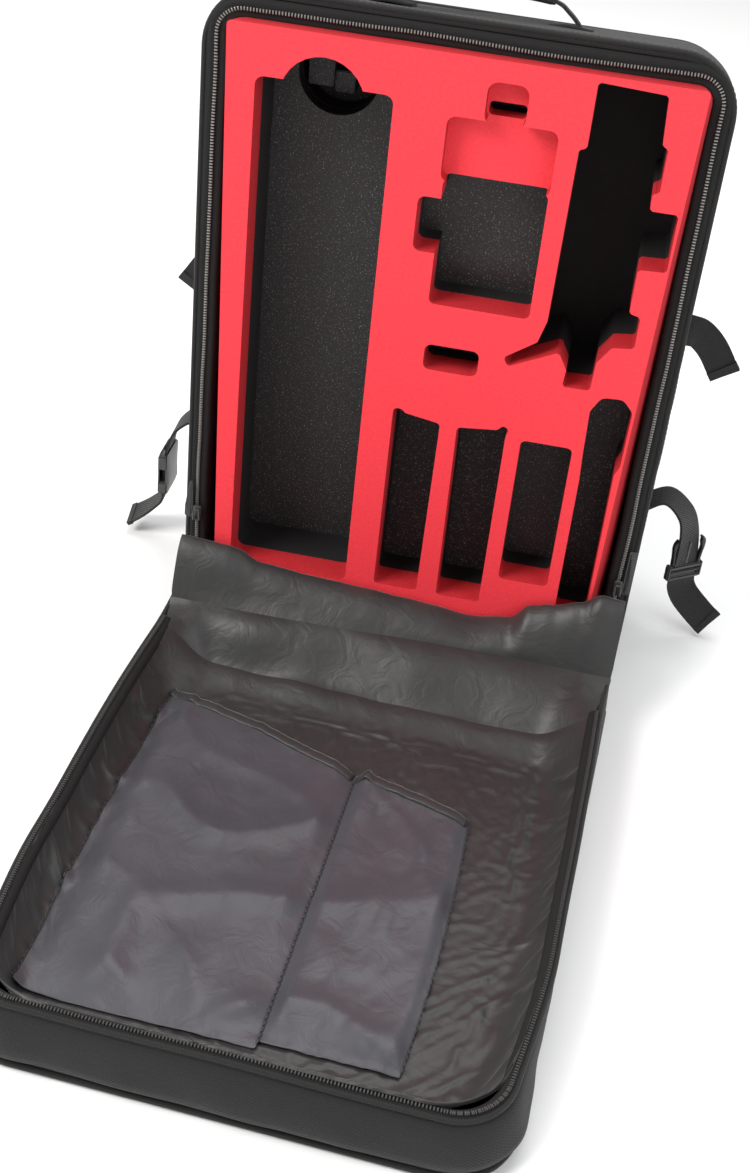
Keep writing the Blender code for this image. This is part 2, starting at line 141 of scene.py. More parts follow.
def woven(name, dark, light, pitch, relief, grain=0.35, use_uv=True, **constants):
    """Woven cloth: two sets of threads over and under each other, pitch apart, with uneven dye."""
    made, tree, shader = new_finish(name, **constants)
    coords = add_node(tree, "ShaderNodeTexCoord")
    place = (coords, "UV" if use_uv else "Object")
    warp = add_node(tree, "ShaderNodeTexWave", {"Vector": place, "Scale": 0.314 / pitch},
                    bands_direction="X", wave_profile="SIN")
    weft = add_node(tree, "ShaderNodeTexWave", {"Vector": place, "Scale": 0.314 / pitch},
                    bands_direction="Y", wave_profile="SIN")
    over = add_node(tree, "ShaderNodeTexChecker", {"Vector": place, "Scale": 1 / pitch})
    threads = add_node(tree, "ShaderNodeMix", {0: (over, "Fac"), 6: (warp, "Color"),
                                               7: (weft, "Color")}, data_type="RGBA")
    dye = add_node(tree, "ShaderNodeTexNoise", {"Vector": (coords, "Object"), "Scale": 38.0,
                                                "Detail": 6.0, "Roughness": 0.6})
    shade = add_node(tree, "ShaderNodeMath", {0: (threads, 2), 1: 1 - grain}, operation="MULTIPLY")
    mottled = add_node(tree, "ShaderNodeMath", {0: (dye, "Fac"), 1: grain, 2: (shade, 0)},
                       operation="MULTIPLY_ADD")
    tint = add_node(tree, "ShaderNodeMix", {0: (mottled, 0), 6: srgb(dark), 7: srgb(light)},
                    data_type="RGBA")
    tree.links.new(tint.outputs[2], shader.inputs["Base Color"])
    bump = add_node(tree, "ShaderNodeBump", {"Height": (threads, 2), "Distance": relief,
                                             "Strength": 0.6})
    tree.links.new(bump.outputs[0], shader.inputs["Normal"])
    return made


def coated(name, dark, light, crease, **constants):
    """Thin coated nylon: near-smooth film over fine threads, with small creases."""
    made, tree, shader = new_finish(name, **constants)
    coords = add_node(tree, "ShaderNodeTexCoord")
    wide = add_node(tree, "ShaderNodeTexNoise", {"Vector": (coords, "Object"), "Scale": 14.0,
                                                 "Detail": 4.0, "Distortion": 0.8})
    tint = add_node(tree, "ShaderNodeMix", {0: (wide, "Fac"), 6: srgb(dark), 7: srgb(light)},
                    data_type="RGBA")
    tree.links.new(tint.outputs[2], shader.inputs["Base Color"])
    rumple = add_node(tree, "ShaderNodeTexNoise", {"Vector": (coords, "Object"), "Scale": 46.0,
                                                   "Detail": 3.0, "Distortion": 1.6})
    thread = add_node(tree, "ShaderNodeTexNoise", {"Vector": (coords, "Object"), "Scale": 1400.0,
                                                   "Detail": 1.0})
    soft = add_node(tree, "ShaderNodeBump", {"Height": (rumple, "Fac"), "Distance": crease,
                                             "Strength": 0.5})
    fine = add_node(tree, "ShaderNodeBump", {"Height": (thread, "Fac"), "Distance": 0.00015,
                                             "Strength": 0.4, "Normal": (soft, 0)})
    tree.links.new(fine.outputs[0], shader.inputs["Normal"])
    return made


def foam(name, dark, light, cell, painted_glint=None, **constants):
    """Closed-cell foam: a pebbled skin of cells about a millimetre wide. An optional pale colour is mixed in
    as small specks: painted glints of light.
    """
    made, tree, shader = new_finish(name, **constants)
    coords = add_node(tree, "ShaderNodeTexCoord")
    cells = add_node(tree, "ShaderNodeTexVoronoi", {"Vector": (coords, "Object"),
                                                    "Scale": 1 / cell})
    cloudy = add_node(tree, "ShaderNodeTexNoise", {"Vector": (coords, "Object"), "Scale": 420.0,
                                                   "Detail": 3.0})
    tint = add_node(tree, "ShaderNodeMix", {0: (cloudy, "Fac"), 6: srgb(dark), 7: srgb(light)},
                    data_type="RGBA")
    last = (tint, 2)
    # painted highlights: small pale glints mixed into the base colour
    if painted_glint:
        bright = add_node(tree, "ShaderNodeTexNoise", {"Vector": (coords, "Object"),
                                                       "Scale": 900.0, "Detail": 2.0})
        glint_mask = add_node(tree, "ShaderNodeMapRange", {"Value": (bright, "Fac"), "From Min": 0.60,
                                                     "From Max": 0.72})
        last = (add_node(tree, "ShaderNodeMix", {0: (glint_mask, 0), 6: last, 7: srgb(painted_glint)},
                         data_type="RGBA"), 2)
    tree.links.new(last[0].outputs[2], shader.inputs["Base Color"])
    bump = add_node(tree, "ShaderNodeBump", {"Height": (cells, "Distance"), "Distance": 0.0005,
                                             "Strength": 0.35})
    tree.links.new(bump.outputs[0], shader.inputs["Normal"])
    return made


def moulded(name, dark, light, grit, **constants):
    """Moulded or plated part: fine mould grit, with paler, rubbed corners."""
    made, tree, shader = new_finish(name, **constants)
    coords = add_node(tree, "ShaderNodeTexCoord")
    grain = add_node(tree, "ShaderNodeTexNoise", {"Vector": (coords, "Object"), "Scale": 1 / grit,
                                                  "Detail": 3.0})
    worn = add_node(tree, "ShaderNodeNewGeometry")
    edge = add_node(tree, "ShaderNodeMapRange", {"Value": (worn, "Pointiness"), "From Min": 0.50,
                                                 "From Max": 0.62})
    tint = add_node(tree, "ShaderNodeMix", {0: (edge, 0), 6: srgb(dark), 7: srgb(light)},
                    data_type="RGBA")
    tree.links.new(tint.outputs[2], shader.inputs["Base Color"])
    bump = add_node(tree, "ShaderNodeBump", {"Height": (grain, "Fac"), "Distance": 0.00012,
                                             "Strength": 0.3})
    tree.links.new(bump.outputs[0], shader.inputs["Normal"])
    return made


# 600D polyester, plain weave, dyed black: matt, with a faint thread pattern drawn at 1.1 mm.
SHELL = woven("woven_polyester_600d", "#060505", "#171515", 0.0011, 0.0004, Roughness=0.82,
              Sheen_Weight=0.10, Sheen_Roughness=0.5)
# The same polyester folded into narrow binding: slightly paler where it is rubbed.
BINDING = woven("woven_polyester_binding", "#070606", "#1b1919", 0.0009, 0.0003, Roughness=0.78,
                Sheen_Weight=0.12, Sheen_Roughness=0.4)
# PU-coated nylon lining: dark grey with a satin gloss that shows every crease.
LINING = coated("coated_nylon_lining", "#262625", "#343333", 0.0016, Roughness=0.46,
                Sheen_Weight=0.2, Sheen_Roughness=0.4)
# The pockets are cut from a cooler, slightly paler roll of the same nylon.
POCKET_CLOTH = coated("coated_nylon_pocket", "#39383d", "#47464c", 0.0014, Roughness=0.42,
                      Sheen_Weight=0.2, Sheen_Roughness=0.4)
# Die-cut EVA foam, red: matt and saturated on the skin.
FOAM_RED = foam("eva_foam_red_skin", "#e92935", "#f93f4b", 0.0010, Roughness=0.72)
# Red foam on the cut walls: the face's red made darker, as painted shade on walls that face sideways.
FOAM_RED_SHADED = foam("eva_foam_red_painted_shade", "#a8131c", "#c81f29", 0.0008, Roughness=0.85)
# Black foam walls, knife cut: darker than the floors, as painted shade; the floors of the deep pocket at
# upper right get it too, as painted shade.
FOAM_BLACK_SHADED = foam("pe_foam_black_painted_shade", "#0b0a0a", "#171616", 0.0009, Roughness=0.9)
# Black foam floors: a paler, lit copy of the black foam, with small pale specks painted in as glints;
# painted light.
FOAM_BLACK_LIT = foam("pe_foam_black_painted_light", "#1b1b1b", "#343434", 0.0009, "#8c8c8c", Roughness=0.55)
# Zip tape: knitted polyester, very dark.
TAPE = woven("knitted_zip_tape", "#070707", "#171616", 0.0008, 0.0003, Roughness=0.85)
# Zip coil: nylon monofilament, dark with a metallic lustre.
TEETH = moulded("nylon_zip_coil", "#4d4c4b", "#9b9995", 0.0012, Roughness=0.32, Metallic=0.6)
# The lid's half of the coil: a darker, less glossy copy of the coil, as painted shade where it lies under
# its tape.
TEETH_SHADED = moulded("nylon_zip_coil_painted_shade", "#1c1b1b", "#3b3a39", 0.0012, Roughness=0.5)
# Zinc casting, nickel plated: bright, smooth, soft scratches.
CHROME = moulded("nickel_plated_zinc", "#b9b9ba", "#f2f2f2", 0.0009, Roughness=0.18, Metallic=1.0)
# Zinc casting, black enamel.
SLIDER_BLACK = moulded("enamelled_zinc", "#141313", "#4a4a4a", 0.0009, Roughness=0.3)
# Dark red moulded rubber inlay.
INLAY = moulded("moulded_red_rubber", "#5c1015", "#7d1a20", 0.0008, Roughness=0.5)
# Nylon webbing, herringbone loom: ribs 1.3 mm apart.
WEBBING = woven("nylon_webbing", "#080707", "#201e1e", 0.0013, 0.0007, Roughness=0.62,
                Sheen_Weight=0.15, Sheen_Roughness=0.35)
# Acetal buckles: injection moulded, satin.
ACETAL = moulded("moulded_acetal", "#100f0f", "#3c3b3b", 0.0006, Roughness=0.36)
# Spacer mesh on the back: holes 2.6 mm apart over dark foam.
MESH_CLOTH = woven("spacer_mesh", "#060606", "#242323", 0.0026, 0.0012, grain=0.2, Roughness=0.9)
# Bonded polyester thread.
THREAD = moulded("bonded_thread", "#262525", "#3a3939", 0.0006, Roughness=0.5)
# Painted wooden floor board, pale and matt.
FLOOR = moulded("matt_white_board", "#fbfbfb", "#ffffff", 0.004, Roughness=0.9)


# ---- mesh building ----
def ease(t):
    t = min(1.0, max(0.0, t))
    return t * t * (3 - 2 * t)


def ripple(x, y, z, scale, seed=0.0):
    """Smooth noise between about -1 and 1."""
    return noise.noise(Vector((x * scale + seed, y * scale - seed, z * scale + 2.7 * seed)))


def heading(path, i):
    """Direction of a path at its point i."""
    return (path[min(i + 1, len(path) - 1)] - path[max(i - 1, 0)]).normalized()


def square_to(side, along):
    """The part of side that is square to along, at unit length."""
    return (side - along * side.dot(along)).normalized()


class Pattern:
    """Collects faces in the foam's frame, with texture coordinates in metres of cloth."""

    def __init__(self):
        self.points, self.faces, self.uvs, self.marks = [], [], [], []

    def grid(self, rows, mark=0, loop=False):
        start, count = len(self.points), len(rows[0])
        middle = rows[len(rows) // 2]
        across, along = [0.0], [0.0]
        for k in range(count):
            across.append(across[-1] + (middle[(k + 1) % count] - middle[k]).length)
        for a, b in zip(rows, rows[1:]):
            along.append(along[-1] + (b[count // 2] - a[count // 2]).length)
        self.points += [point for row in rows for point in row]
        for i in range(len(rows) - 1):
            for j in range(count if loop else count - 1):
                k = (j + 1) % count
                first, second = start + i * count, start + (i + 1) * count
                self.faces.append((first + j, first + k, second + k, second + j))
                self.uvs.append(((across[j], along[i]), (across[j + 1], along[i]),
                                 (across[j + 1], along[i + 1]), (across[j], along[i + 1])))
                self.marks.append(mark)
        return self

    def cap(self, ring, mark=0):
        start = len(self.points)
        self.points += ring
        self.faces.append(tuple(range(start, start + len(ring))))
        self.uvs.append(tuple((p.x + p.y, p.z) for p in ring))
        self.marks.append(mark)
        return self

    def closed(self, rows, mark=0):
        """Closed rings joined one to the next, with a face over each end."""
        return self.grid(rows, mark, loop=True).cap(rows[0], mark).cap(rows[-1], mark)

    def sweep(self, path, sides, section, mark=0, loop=False):
        """A closed section carried along a path. section(t) gives (side, up) offsets."""
        rings, count = [], len(path)
        for i, point in enumerate(path):
            if loop:
                along = (path[(i + 1) % count] - path[i - 1]).normalized()
            else:
                along = heading(path, i)
            t = i / (count - 1)
            if callable(sides):
                side = sides(t, point)
            else:
                side = Vector(sides[0]).lerp(Vector(sides[1]), t)
            side = square_to(side, along)
            up = along.cross(side)
            rings.append([point + side * a + up * b for a, b in section(t)])
        if loop:
            return self.grid([*rings, rings[0]], mark, loop=True)
        return self.closed(rings, mark)

    def block(self, low, high, bevel, mark=0):
        """A box with eased edges."""
        bm = bmesh.new()
        bmesh.ops.create_cube(bm, size=1)
        size = Vector(high) - Vector(low)
        bmesh.ops.scale(bm, vec=size, verts=bm.verts)
        bmesh.ops.bevel(bm, geom=bm.edges[:], offset=bevel, segments=2, affect="EDGES")
        bmesh.ops.translate(bm, vec=(Vector(high) + Vector(low)) / 2, verts=bm.verts)
        start = len(self.points)
        self.points += [v.co.copy() for v in bm.verts]
        for face in bm.faces:
            self.faces.append(tuple(start + v.index for v in face.verts))
            self.uvs.append(tuple((v.co.x + v.co.y, v.co.z) for v in face.verts))
            self.marks.append(mark)
        bm.free()
        return self

    def make(self, name, finishes, body=None, slot=None, stands_for=(), smooth=True,
             recalculate=True):
        """Makes the object, moved from the foam's frame to the pack's own."""
        mesh = bpy.data.meshes.new(name)
        mesh.from_pydata([(p.x, p.y + FACE_Y, p.z) for p in self.points], [], self.faces)
        layer = mesh.uv_layers.new(name="UVMap")
        flat = [value for face in self.uvs for pair in face for value in pair]
        layer.data.foreach_set("uv", flat)
        mesh.polygons.foreach_set("material_index", self.marks)
        bm = bmesh.new()
        bm.from_mesh(mesh)
        bmesh.ops.remove_doubles(bm, verts=bm.verts, dist=2e-6)
        if recalculate:
            bmesh.ops.recalc_face_normals(bm, faces=bm.faces)
        bm.to_mesh(mesh)
        bm.free()
        return dress(bpy.data.objects.new(name, mesh), finishes, body, stands_for, smooth)


def dress(obj, finishes, body, stands_for=(), smooth=True):
    """Puts a new object in the scene with its finishes, its body and what it stands for."""
    if obj.name not in bpy.context.scene.collection.objects:
        bpy.context.scene.collection.objects.link(obj)
    obj.data.materials.clear()
    for finish in finishes if isinstance(finishes, (list, tuple)) else [finishes]:
        obj.data.materials.append(finish)
    obj.data.polygons.foreach_set("use_smooth", [smooth] * len(obj.data.polygons))
    if body:
        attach(obj, body)
    if stands_for:
        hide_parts(*stands_for)
    return obj


def sharpen(obj, degrees=40):
    """Keeps hard edges hard under smooth shading."""
    obj.data.set_sharp_from_angle(angle=math.radians(degrees))
    return obj


def subdivide(obj, levels=1):
    modifier = obj.modifiers.new("soften", "SUBSURF")
    modifier.levels = modifier.render_levels = levels
    return obj


def thicken(obj, thick, offset=-1):
    modifier = obj.modifiers.new("thickness", "SOLIDIFY")
    modifier.thickness, modifier.offset = thick, offset
    return obj


def curve_through(points, per_span=8):
    """A Catmull-Rom curve through the points."""
    points = [Vector(p) for p in points]
    ends = [2 * points[0] - points[1], *points, 2 * points[-1] - points[-2]]
    out = []
    for a, b, c, d in zip(ends, ends[1:], ends[2:], ends[3:]):
        for k in range(per_span):
            t = k / per_span
            out.append(0.5 * (2 * b + (c - a) * t + (2 * a - 5 * b + 4 * c - d) * t**2
                              + (3 * b - a - 3 * c + d) * t**3))
    return [*out, points[-1]]


def spaced(path, step):
    """The path resampled at an even step."""
    out, carry = [path[0]], 0.0
    for a, b in zip(path, path[1:]):
        length = (b - a).length
        while carry + length >= step:
            share = (step - carry) / length
            a = a.lerp(b, share)
            out.append(a)
            length = (b - a).length
            carry = 0.0
        carry += length
    return out


def u_path(half_w, top, bottom, radius, step):
    """Points (x, z) and outward normals up the left side, over the top and down the right."""
    corner = []
    for k in range(13):
        a = math.pi - k * math.pi / 24
        corner.append((-half_w + radius + radius * math.cos(a),
                       top - radius + radius * math.sin(a)))
    line = [(-half_w, bottom), *corner, *((-x, z) for x, z in reversed(corner)), (half_w, bottom)]
    points = spaced([Vector((x, 0, z)) for x, z in line], step)
    out = []
    for i, p in enumerate(points):
        along = heading(points, i)
        out.append((p.x, p.z, -along.z, along.x))
    return out


def crown(z, y):
    """Height of a point that is at z on the rim, once it is y behind the foam's face."""
    share = (HEIGHT - CROWN_SLOPE * max(0.0, y - RIM_Y) - SEAT_Z) / (HEIGHT - SEAT_Z)
    return SEAT_Z + (z - SEAT_Z) * share


def ellipse(a, b, count=10):
    """A closed oval section."""
    return [(a * math.cos(2 * math.pi * k / count), b * math.sin(2 * math.pi * k / count))
            for k in range(count)]


def band(width, thick, crown_up=0.0, count=7):
    """Section of a flat strap, thicker in the middle by crown_up."""
    xs = [-width / 2 + width * k / (count - 1) for k in range(count)]
    lift = [thick / 2 + crown_up * (1 - (2 * x / width) ** 2) for x in xs]
    return [*zip(xs, lift), *((x, -h) for x, h in zip(reversed(xs), reversed(lift)))]


def stitches(name, path, normal, body, slot="webbing", step=0.0042, size=0.00035):
    """A line of sewn thread: short proud stitches along a path."""
    shape = Pattern()
    points = spaced(path, step)
    for a, b in zip(points, points[1:]):
        lift = Vector(normal(a) if callable(normal) else normal).normalized() * size
        along = b - a
        ends = [a + along * 0.12 + lift * 0.2, a + along * 0.3 + lift, a + along * 0.7 + lift,
                a + along * 0.88 + lift * 0.2]
        shape.sweep(ends, (along.cross(lift), along.cross(lift)), lambda t: ellipse(size, size, 5))
    return shape.make(name, THREAD, body, slot)


def plate(shape, ring, y0, y1, ease_edge=0.0003, mark=0, shrink=0.9):
    """A flat plate cut to a closed ring of (x, z), from y0 to y1, with eased edges."""
    cx = sum(x for x, _ in ring) / len(ring)
    cz = sum(z for _, z in ring) / len(ring)
    rows = []
    for s, y in ((shrink, y0), (1, y0 + ease_edge), (1, y1 - ease_edge), (shrink, y1)):
        rows.append([Vector((cx + (x - cx) * s, y, cz + (z - cz) * s)) for x, z in ring])
    return shape.closed(rows, mark)


def pillow(shape, ring, y0, y1, puff, steps=12, mark=0, relief=None):
    """A crowned pad cut to a ring of (x, z): fattest inside, drawn in along its seam."""
    cx = (min(x for x, _ in ring) + max(x for x, _ in ring)) / 2
    cz = (min(z for _, z in ring) + max(z for _, z in ring)) / 2
    middle, half = (y0 + y1) / 2, (y1 - y0) / 2
    rows = []
    for side in (-1, 1):
        order = range(1, steps + 1) if side < 0 else range(steps - 1, 0, -1)
        for k in order:
            s = math.sin(k / steps * math.pi / 2)
            fat = (half + puff * (1 - s * s)) * math.sqrt(max(0.0, 1 - s ** 7))
            row = []
            for x, z in ring:
                px, pz = cx + (x - cx) * s, cz + (z - cz) * s
                more = relief(px, pz) * (1 - s ** 4) if relief and side > 0 else 0.0
                row.append(Vector((px, middle + side * (fat + more), pz)))
            rows.append(row)
    return shape.closed(rows, mark)


def round_ring(points, radius, steps=6):
    """A closed outline of (x, z) with rounded corners."""
    out = []
    count = len(points)
    for i, corner in enumerate(points):
        here = Vector(corner)
        before = (Vector(points[i - 1]) - here)
        after = (Vector(points[(i + 1) % count]) - here)
        reach = min(radius, before.length * 0.49, after.length * 0.49)
        a, b = here + before.normalized() * reach, here + after.normalized() * reach
        for k in range(steps + 1):
            t = k / steps
            out.append(tuple((1 - t) ** 2 * a + 2 * t * (1 - t) * here + t * t * b))
    return out


def finer(ring, step):
    """A closed ring with extra points on its long sides."""
    out = []
    for a, b in zip(ring, ring[1:] + ring[:1]):
        count = max(1, int(math.dist(a, b) / step))
        out += [(a[0] + (b[0] - a[0]) * k / count, a[1] + (b[1] - a[1]) * k / count)
                for k in range(count)]
    return out


def tube(name, path, radius, finish, body, slot, sides=(0, 1, 0.01), count=7, loop=False):
    shape = Pattern()
    shape.sweep(path, (sides, sides), lambda t: ellipse(radius, radius, count), loop=loop)
    return shape.make(name, finish, body, slot)


# ---- foam insert ----
def cut_foam(node, name, finishes, face_limit):
    """The die-cut layer with softened edges: front-facing faces get the lit colour. The cut walls, and in
    the black layers the floors of the deep pocket at upper right, get a darker copy as painted shade.
    """
    mesh = frame["nodes"][node].data.copy()
    for extra in [a.name for a in mesh.attributes if a.name == "custom_normal"]:
        mesh.attributes.remove(mesh.attributes[extra])
    bm = bmesh.new()
    bm.from_mesh(mesh)
    bmesh.ops.remove_doubles(bm, verts=bm.verts, dist=1e-5)
    bmesh.ops.dissolve_limit(bm, angle_limit=math.radians(1), verts=bm.verts, edges=bm.edges)
    rims = [e for e in bm.edges if len(e.link_faces) == 2 and e.calc_face_angle(0) > 0.9]
    bmesh.ops.bevel(bm, geom=rims, offset=0.0007, segments=2, affect="EDGES", clamp_overlap=True)
    bmesh.ops.triangulate(bm, faces=bm.faces)
    for face in bm.faces:
        middle = face.calc_center_median()
        # painted shade: floors of the deep pocket at upper right take the darker wall colour
        shaded_pocket = middle.x > 0.073 and middle.z > 0.262
        skin = face.normal.y < face_limit and not (shaded_pocket and face_limit < -0.7)
        # index 0 is the lit colour, index 1 the darker copy painted as shade
        face.material_index = 0 if skin else 1
    bm.to_mesh(mesh)
    bm.free()
    marks = [p.material_index for p in mesh.polygons]
    obj = dress(bpy.data.objects.new(name, mesh), finishes, "insert", [node])
    obj.data.polygons.foreach_set("material_index", marks)
    sharpen(obj, 35)
    return obj


cut_foam("foam_top_layer", "foam_red_sheet", [FOAM_RED, FOAM_RED_SHADED], -0.6)
cut_foam("foam_middle_layer", "foam_black_sheet", [FOAM_BLACK_LIT, FOAM_BLACK_SHADED], -0.8)
cut_foam("foam_base_layer", "foam_black_base", [FOAM_BLACK_LIT, FOAM_BLACK_SHADED], -0.8)


def lens_steps():
    """Off-cuts of black foam that step the floor of the round hole."""
    shape = Pattern()
    cx, cz = FOAM_LEFT + 0.060, FOAM_BOTTOM + 0.387
    shape.block((cx - 0.024, 0.073, cz - 0.014), (cx - 0.006, 0.0918, cz + 0.019), bevel=0.0008)
    shape.block((cx - 0.006, 0.080, cz - 0.019), (cx + 0.008, 0.0918, cz - 0.004), bevel=0.0008)
    # the steps take the paler, lit black-foam colour with its painted glints
    made = shape.make("foam_lens_step", FOAM_BLACK_LIT, "insert", "foam_black", smooth=False)


lens_steps()


# ---- body shell ----
def shell_offset(x, y, z):
    """How far the cloth stands off its pattern: a soft swell between its seams, and creases."""
    t = (y - RIM_Y) / (OUTER_BACK_Y - RIM_Y)
    swell = 0.0030 * math.sin(math.pi * min(1, max(0, t))) ** 0.7
    slack = 0.0026 * ripple(x, y * 1.4, z, 9, 3) + 0.0007 * ripple(x, y * 1.8 + z * 0.5, z, 24, 7)
    crease = 0.0016 * (1 - abs(ripple(x * 0.4, y * 0.7 + z * 0.4, z * 0.8, 20, 5))) ** 5
    return swell + (slack - crease) * math.sin(math.pi * min(0.9, max(0.10, t)))


def build_shell():
    outline = u_path(HALF_WIDTH - 0.0004, HEIGHT - 0.0004, 0.006, CORNER, 0.0045)
    depth = 22
    rings = []
    for x, z, nx, nz in outline:
        ring = []
        for k in range(depth + 1):
            y = OUTER_BACK_Y - (OUTER_BACK_Y - RIM_Y) * k / depth
            off = shell_offset(x, y, z) * (1 if z > 0.03 else 0.4)
            ring.append(Vector((x + nx * off, y, crown(z, y) + nz * off)))
        for y, off in ((RIM_Y - 0.0002, -0.0012), (RIM_Y - 0.0002, -0.0055), (RIM_Y + 0.002, -WALL),
                       (0.05, -WALL), (0.10, -WALL), (BACK_Y, -WALL)):
            ring.append(Vector((x + nx * off, y, crown(z, y) + nz * off)))
        rings.append(ring)
    shape = Pattern()
    shape.closed(rings)
    shell = shape.make("shell_gusset", SHELL, "case", "shell_fabric",
                       ["left_side_panel", "top_panel", "right_side_panel"])
    subdivide(shell)
    for name, y, radius, off in (("rim_binding", RIM_Y + 0.0006, 0.0019, -0.0008),
                                 ("back_piping", OUTER_BACK_Y - 0.0006, 0.0022, 0.0008)):
        path = [Vector((x + nx * off, y, crown(z, y) + nz * off)) for x, z, nx, nz in outline]
        tube(name, path, radius, BINDING, "case", "shell_fabric")
    for k, y in enumerate((RIM_Y + 0.0065, RIM_Y + 0.0095)):
        path = []
        for x, z, nx, nz in u_path(HALF_WIDTH - 0.0004, HEIGHT - 0.0004, 0.02, CORNER, 0.003):
            off = shell_offset(x, y, z) + 0.0002
            path.append(Vector((x + nx * off, y, crown(z, y) + nz * off)))
        stitches(f"rim_stitch_{k + 1}", path,
                 lambda p: Vector((p.x, 0, 0.2 if abs(p.x) > 0.15 else 1)), "case", "shell_fabric")


def build_base():
    shape = Pattern()
    ring = round_ring([(-HALF_WIDTH, 0.0002), (HALF_WIDTH, 0.0002), (HALF_WIDTH, SEAT_Z + 0.002),
                       (-HALF_WIDTH, SEAT_Z + 0.002)], 0.007, 5)
    rows = []
    for k in range(13):
        y = RIM_Y + 0.0005 + (OUTER_BACK_Y - RIM_Y - 0.001) * k / 12
        end = 1 - 0.012 * abs(2 * k / 12 - 1) ** 6
        rows.append([Vector((x * end, y, z)) for x, z in ring])
    shape.closed(rows)
    shape.make("base_sheet", SHELL, "case", "shell_fabric", ["base_panel"])
    front = Pattern()
    rows = []
    for i in range(21):
        z = 0.004 + 0.048 * i / 20
        row = []
        for j in range(61):
            x = -0.1665 + 0.333 * j / 60
            swell = 0.0014 * math.sin(math.pi * i / 20) + 0.0012 * ripple(x, 0, z, 22, 4)
            row.append(Vector((x, RIM_Y + 0.0012 - swell, z)))
        rows.append(row)
    front.grid(rows)
    thicken(front.make("base_front_sheet", SHELL, "case", "shell_fabric", ["base_front_panel"]),
            0.004, 1)
    riser = Pattern()
    ring = finer(round_ring([(-0.166, 0.016), (0.166, 0.016), (0.166, 0.0553), (-0.166, 0.0553)],
                            0.004, 3), 0.01)
    plate(riser, ring, RIM_Y + 0.0105, BACK_Y - 0.001, 0.002, shrink=0.98)
    riser.make("riser_pad", LINING, "case", "lining", ["foam_riser"])


def build_back():
    """Back of the pack: stiffened panel, two spacer-mesh pads, a lumbar pad and their seams."""
    ring = []
    for x, z, _, _ in u_path(HALF_WIDTH - 0.001, HEIGHT - 0.001, 0.008, CORNER, 0.006):
        ring.append((x, crown(z, OUTER_BACK_Y)))
    shape = Pattern()
    pillow(shape, finer(ring, 0.008), BACK_Y + 0.0005, OUTER_BACK_Y - 0.001, 0.0008, 14,
           relief=lambda x, z: 0.0006 * ripple(x, 0, z, 24, 9))
    shape.make("back_sheet", SHELL, "case", "shell_fabric", ["back_panel"])
    channel = lambda x, z: -0.0024 * max(0.0, math.cos(math.pi * z / 0.036)) ** 24
    for name, node, sign in (("left_back_cushion", "left_back_pad", -1),
                             ("right_back_cushion", "right_back_pad", 1)):
        pad = round_ring([(sign * 0.0125, 0.1105), (sign * 0.139, 0.1105),
                          (sign * 0.119, 0.3945), (sign * 0.0125, 0.3945)], 0.030, 7)
        shape = Pattern()
        pillow(shape, finer(pad, 0.004), OUTER_BACK_Y - 0.0005, OUTER_BACK_Y + 0.010, 0.0045, 22,
               relief=channel)
        shape.make(name, MESH_CLOTH, "case", "webbing", [node])
        edge = [Vector((x, OUTER_BACK_Y + 0.0045, z)) for x, z in finer(pad, 0.004)]
        tube(f"{name}_piping", edge, 0.0017, BINDING, "case", "shell_fabric", loop=True)
    shape = Pattern()
    lumbar = round_ring([(-0.1295, 0.0305), (0.1295, 0.0305), (0.1295, 0.0975), (-0.1295, 0.0975)],
                        0.028, 7)
    pillow(shape, finer(lumbar, 0.004), OUTER_BACK_Y - 0.0005, OUTER_BACK_Y + 0.012, 0.006, 22,
           relief=lambda x, z: -0.002 * max(0.0, math.cos(math.pi * x / 0.043)) ** 30)
    shape.make("lumbar_cushion", MESH_CLOTH, "case", "webbing", ["lumbar_pad"])
    edge = [Vector((x, OUTER_BACK_Y + 0.0055, z)) for x, z in finer(lumbar, 0.004)]
    tube("lumbar_piping", edge, 0.0017, BINDING, "case", "shell_fabric", loop=True)


build_shell()
build_base()
build_back()


# ---- zip ----
def tooth_row(shape, points, normals, lift, across=0.0026, high=0.0020):
    """One zip tooth every pitch: a six-sided bead lying across the tape."""
    for p, n in zip(points, normals):
        along = n.cross(lift).normalized()
        rings = []
        for end in (-0.5, -0.36, 0.36, 0.5):
            fat = 1 if abs(end) < 0.4 else 0.6
            rings.append([p + n * across * end + along * TOOTH_PITCH * 0.31 * fat * math.cos(a)
                          + lift * high * 0.5 * fat * math.sin(a)
                          for a in (math.pi * k / 3 for k in range(6))])
        shape.closed(rings)


def build_body_zip():
    waver = lambda z, x: 0.0013 * ripple(x, 0, z, 9, 2) + 0.0005 * ripple(x, 0, z, 26, 4)
    shape, bead = Pattern(), Pattern()
    rows = []
    for x, z, nx, nz in u_path(TAPE_MIDDLE_X, TAPE_MIDDLE_Z, 0.064, 0.018, 0.004):
        w = waver(z, x)
        rows.append([Vector((x + nx * (off + w), y, z + nz * (off + w)))
                     for off, y in ((0.0066 - w, 0.0122), (0.0040, 0.0108), (0.0026, 0.0112),
                                    (0, 0.0112), (-0.0026, 0.0112), (-0.0042, 0.0109),
                                    (-0.0060, 0.0112), (-0.0069, 0.0135), (-0.0071, 0.020),
                                    (-0.0066, 0.036))])
    shape.grid(rows)
    thicken(shape.make("body_tape", TAPE, "case", "zip_tape", ["body_zip_tape"]), 0.0007, 1)
    points, normals = [], []
    for x, z, nx, nz in u_path(TAPE_MIDDLE_X, TAPE_MIDDLE_Z, 0.066, 0.018, TOOTH_PITCH):
        w = waver(z, x)
        points.append(Vector((x + nx * w, 0.0095, z + nz * w)))
        normals.append(Vector((nx, 0, nz)))
    tooth_row(bead, points, normals, Vector((0, -1, 0)))
    sharpen(bead.make("body_teeth", TEETH, "case", "zip_teeth", ["body_zip_chain"]), 50)


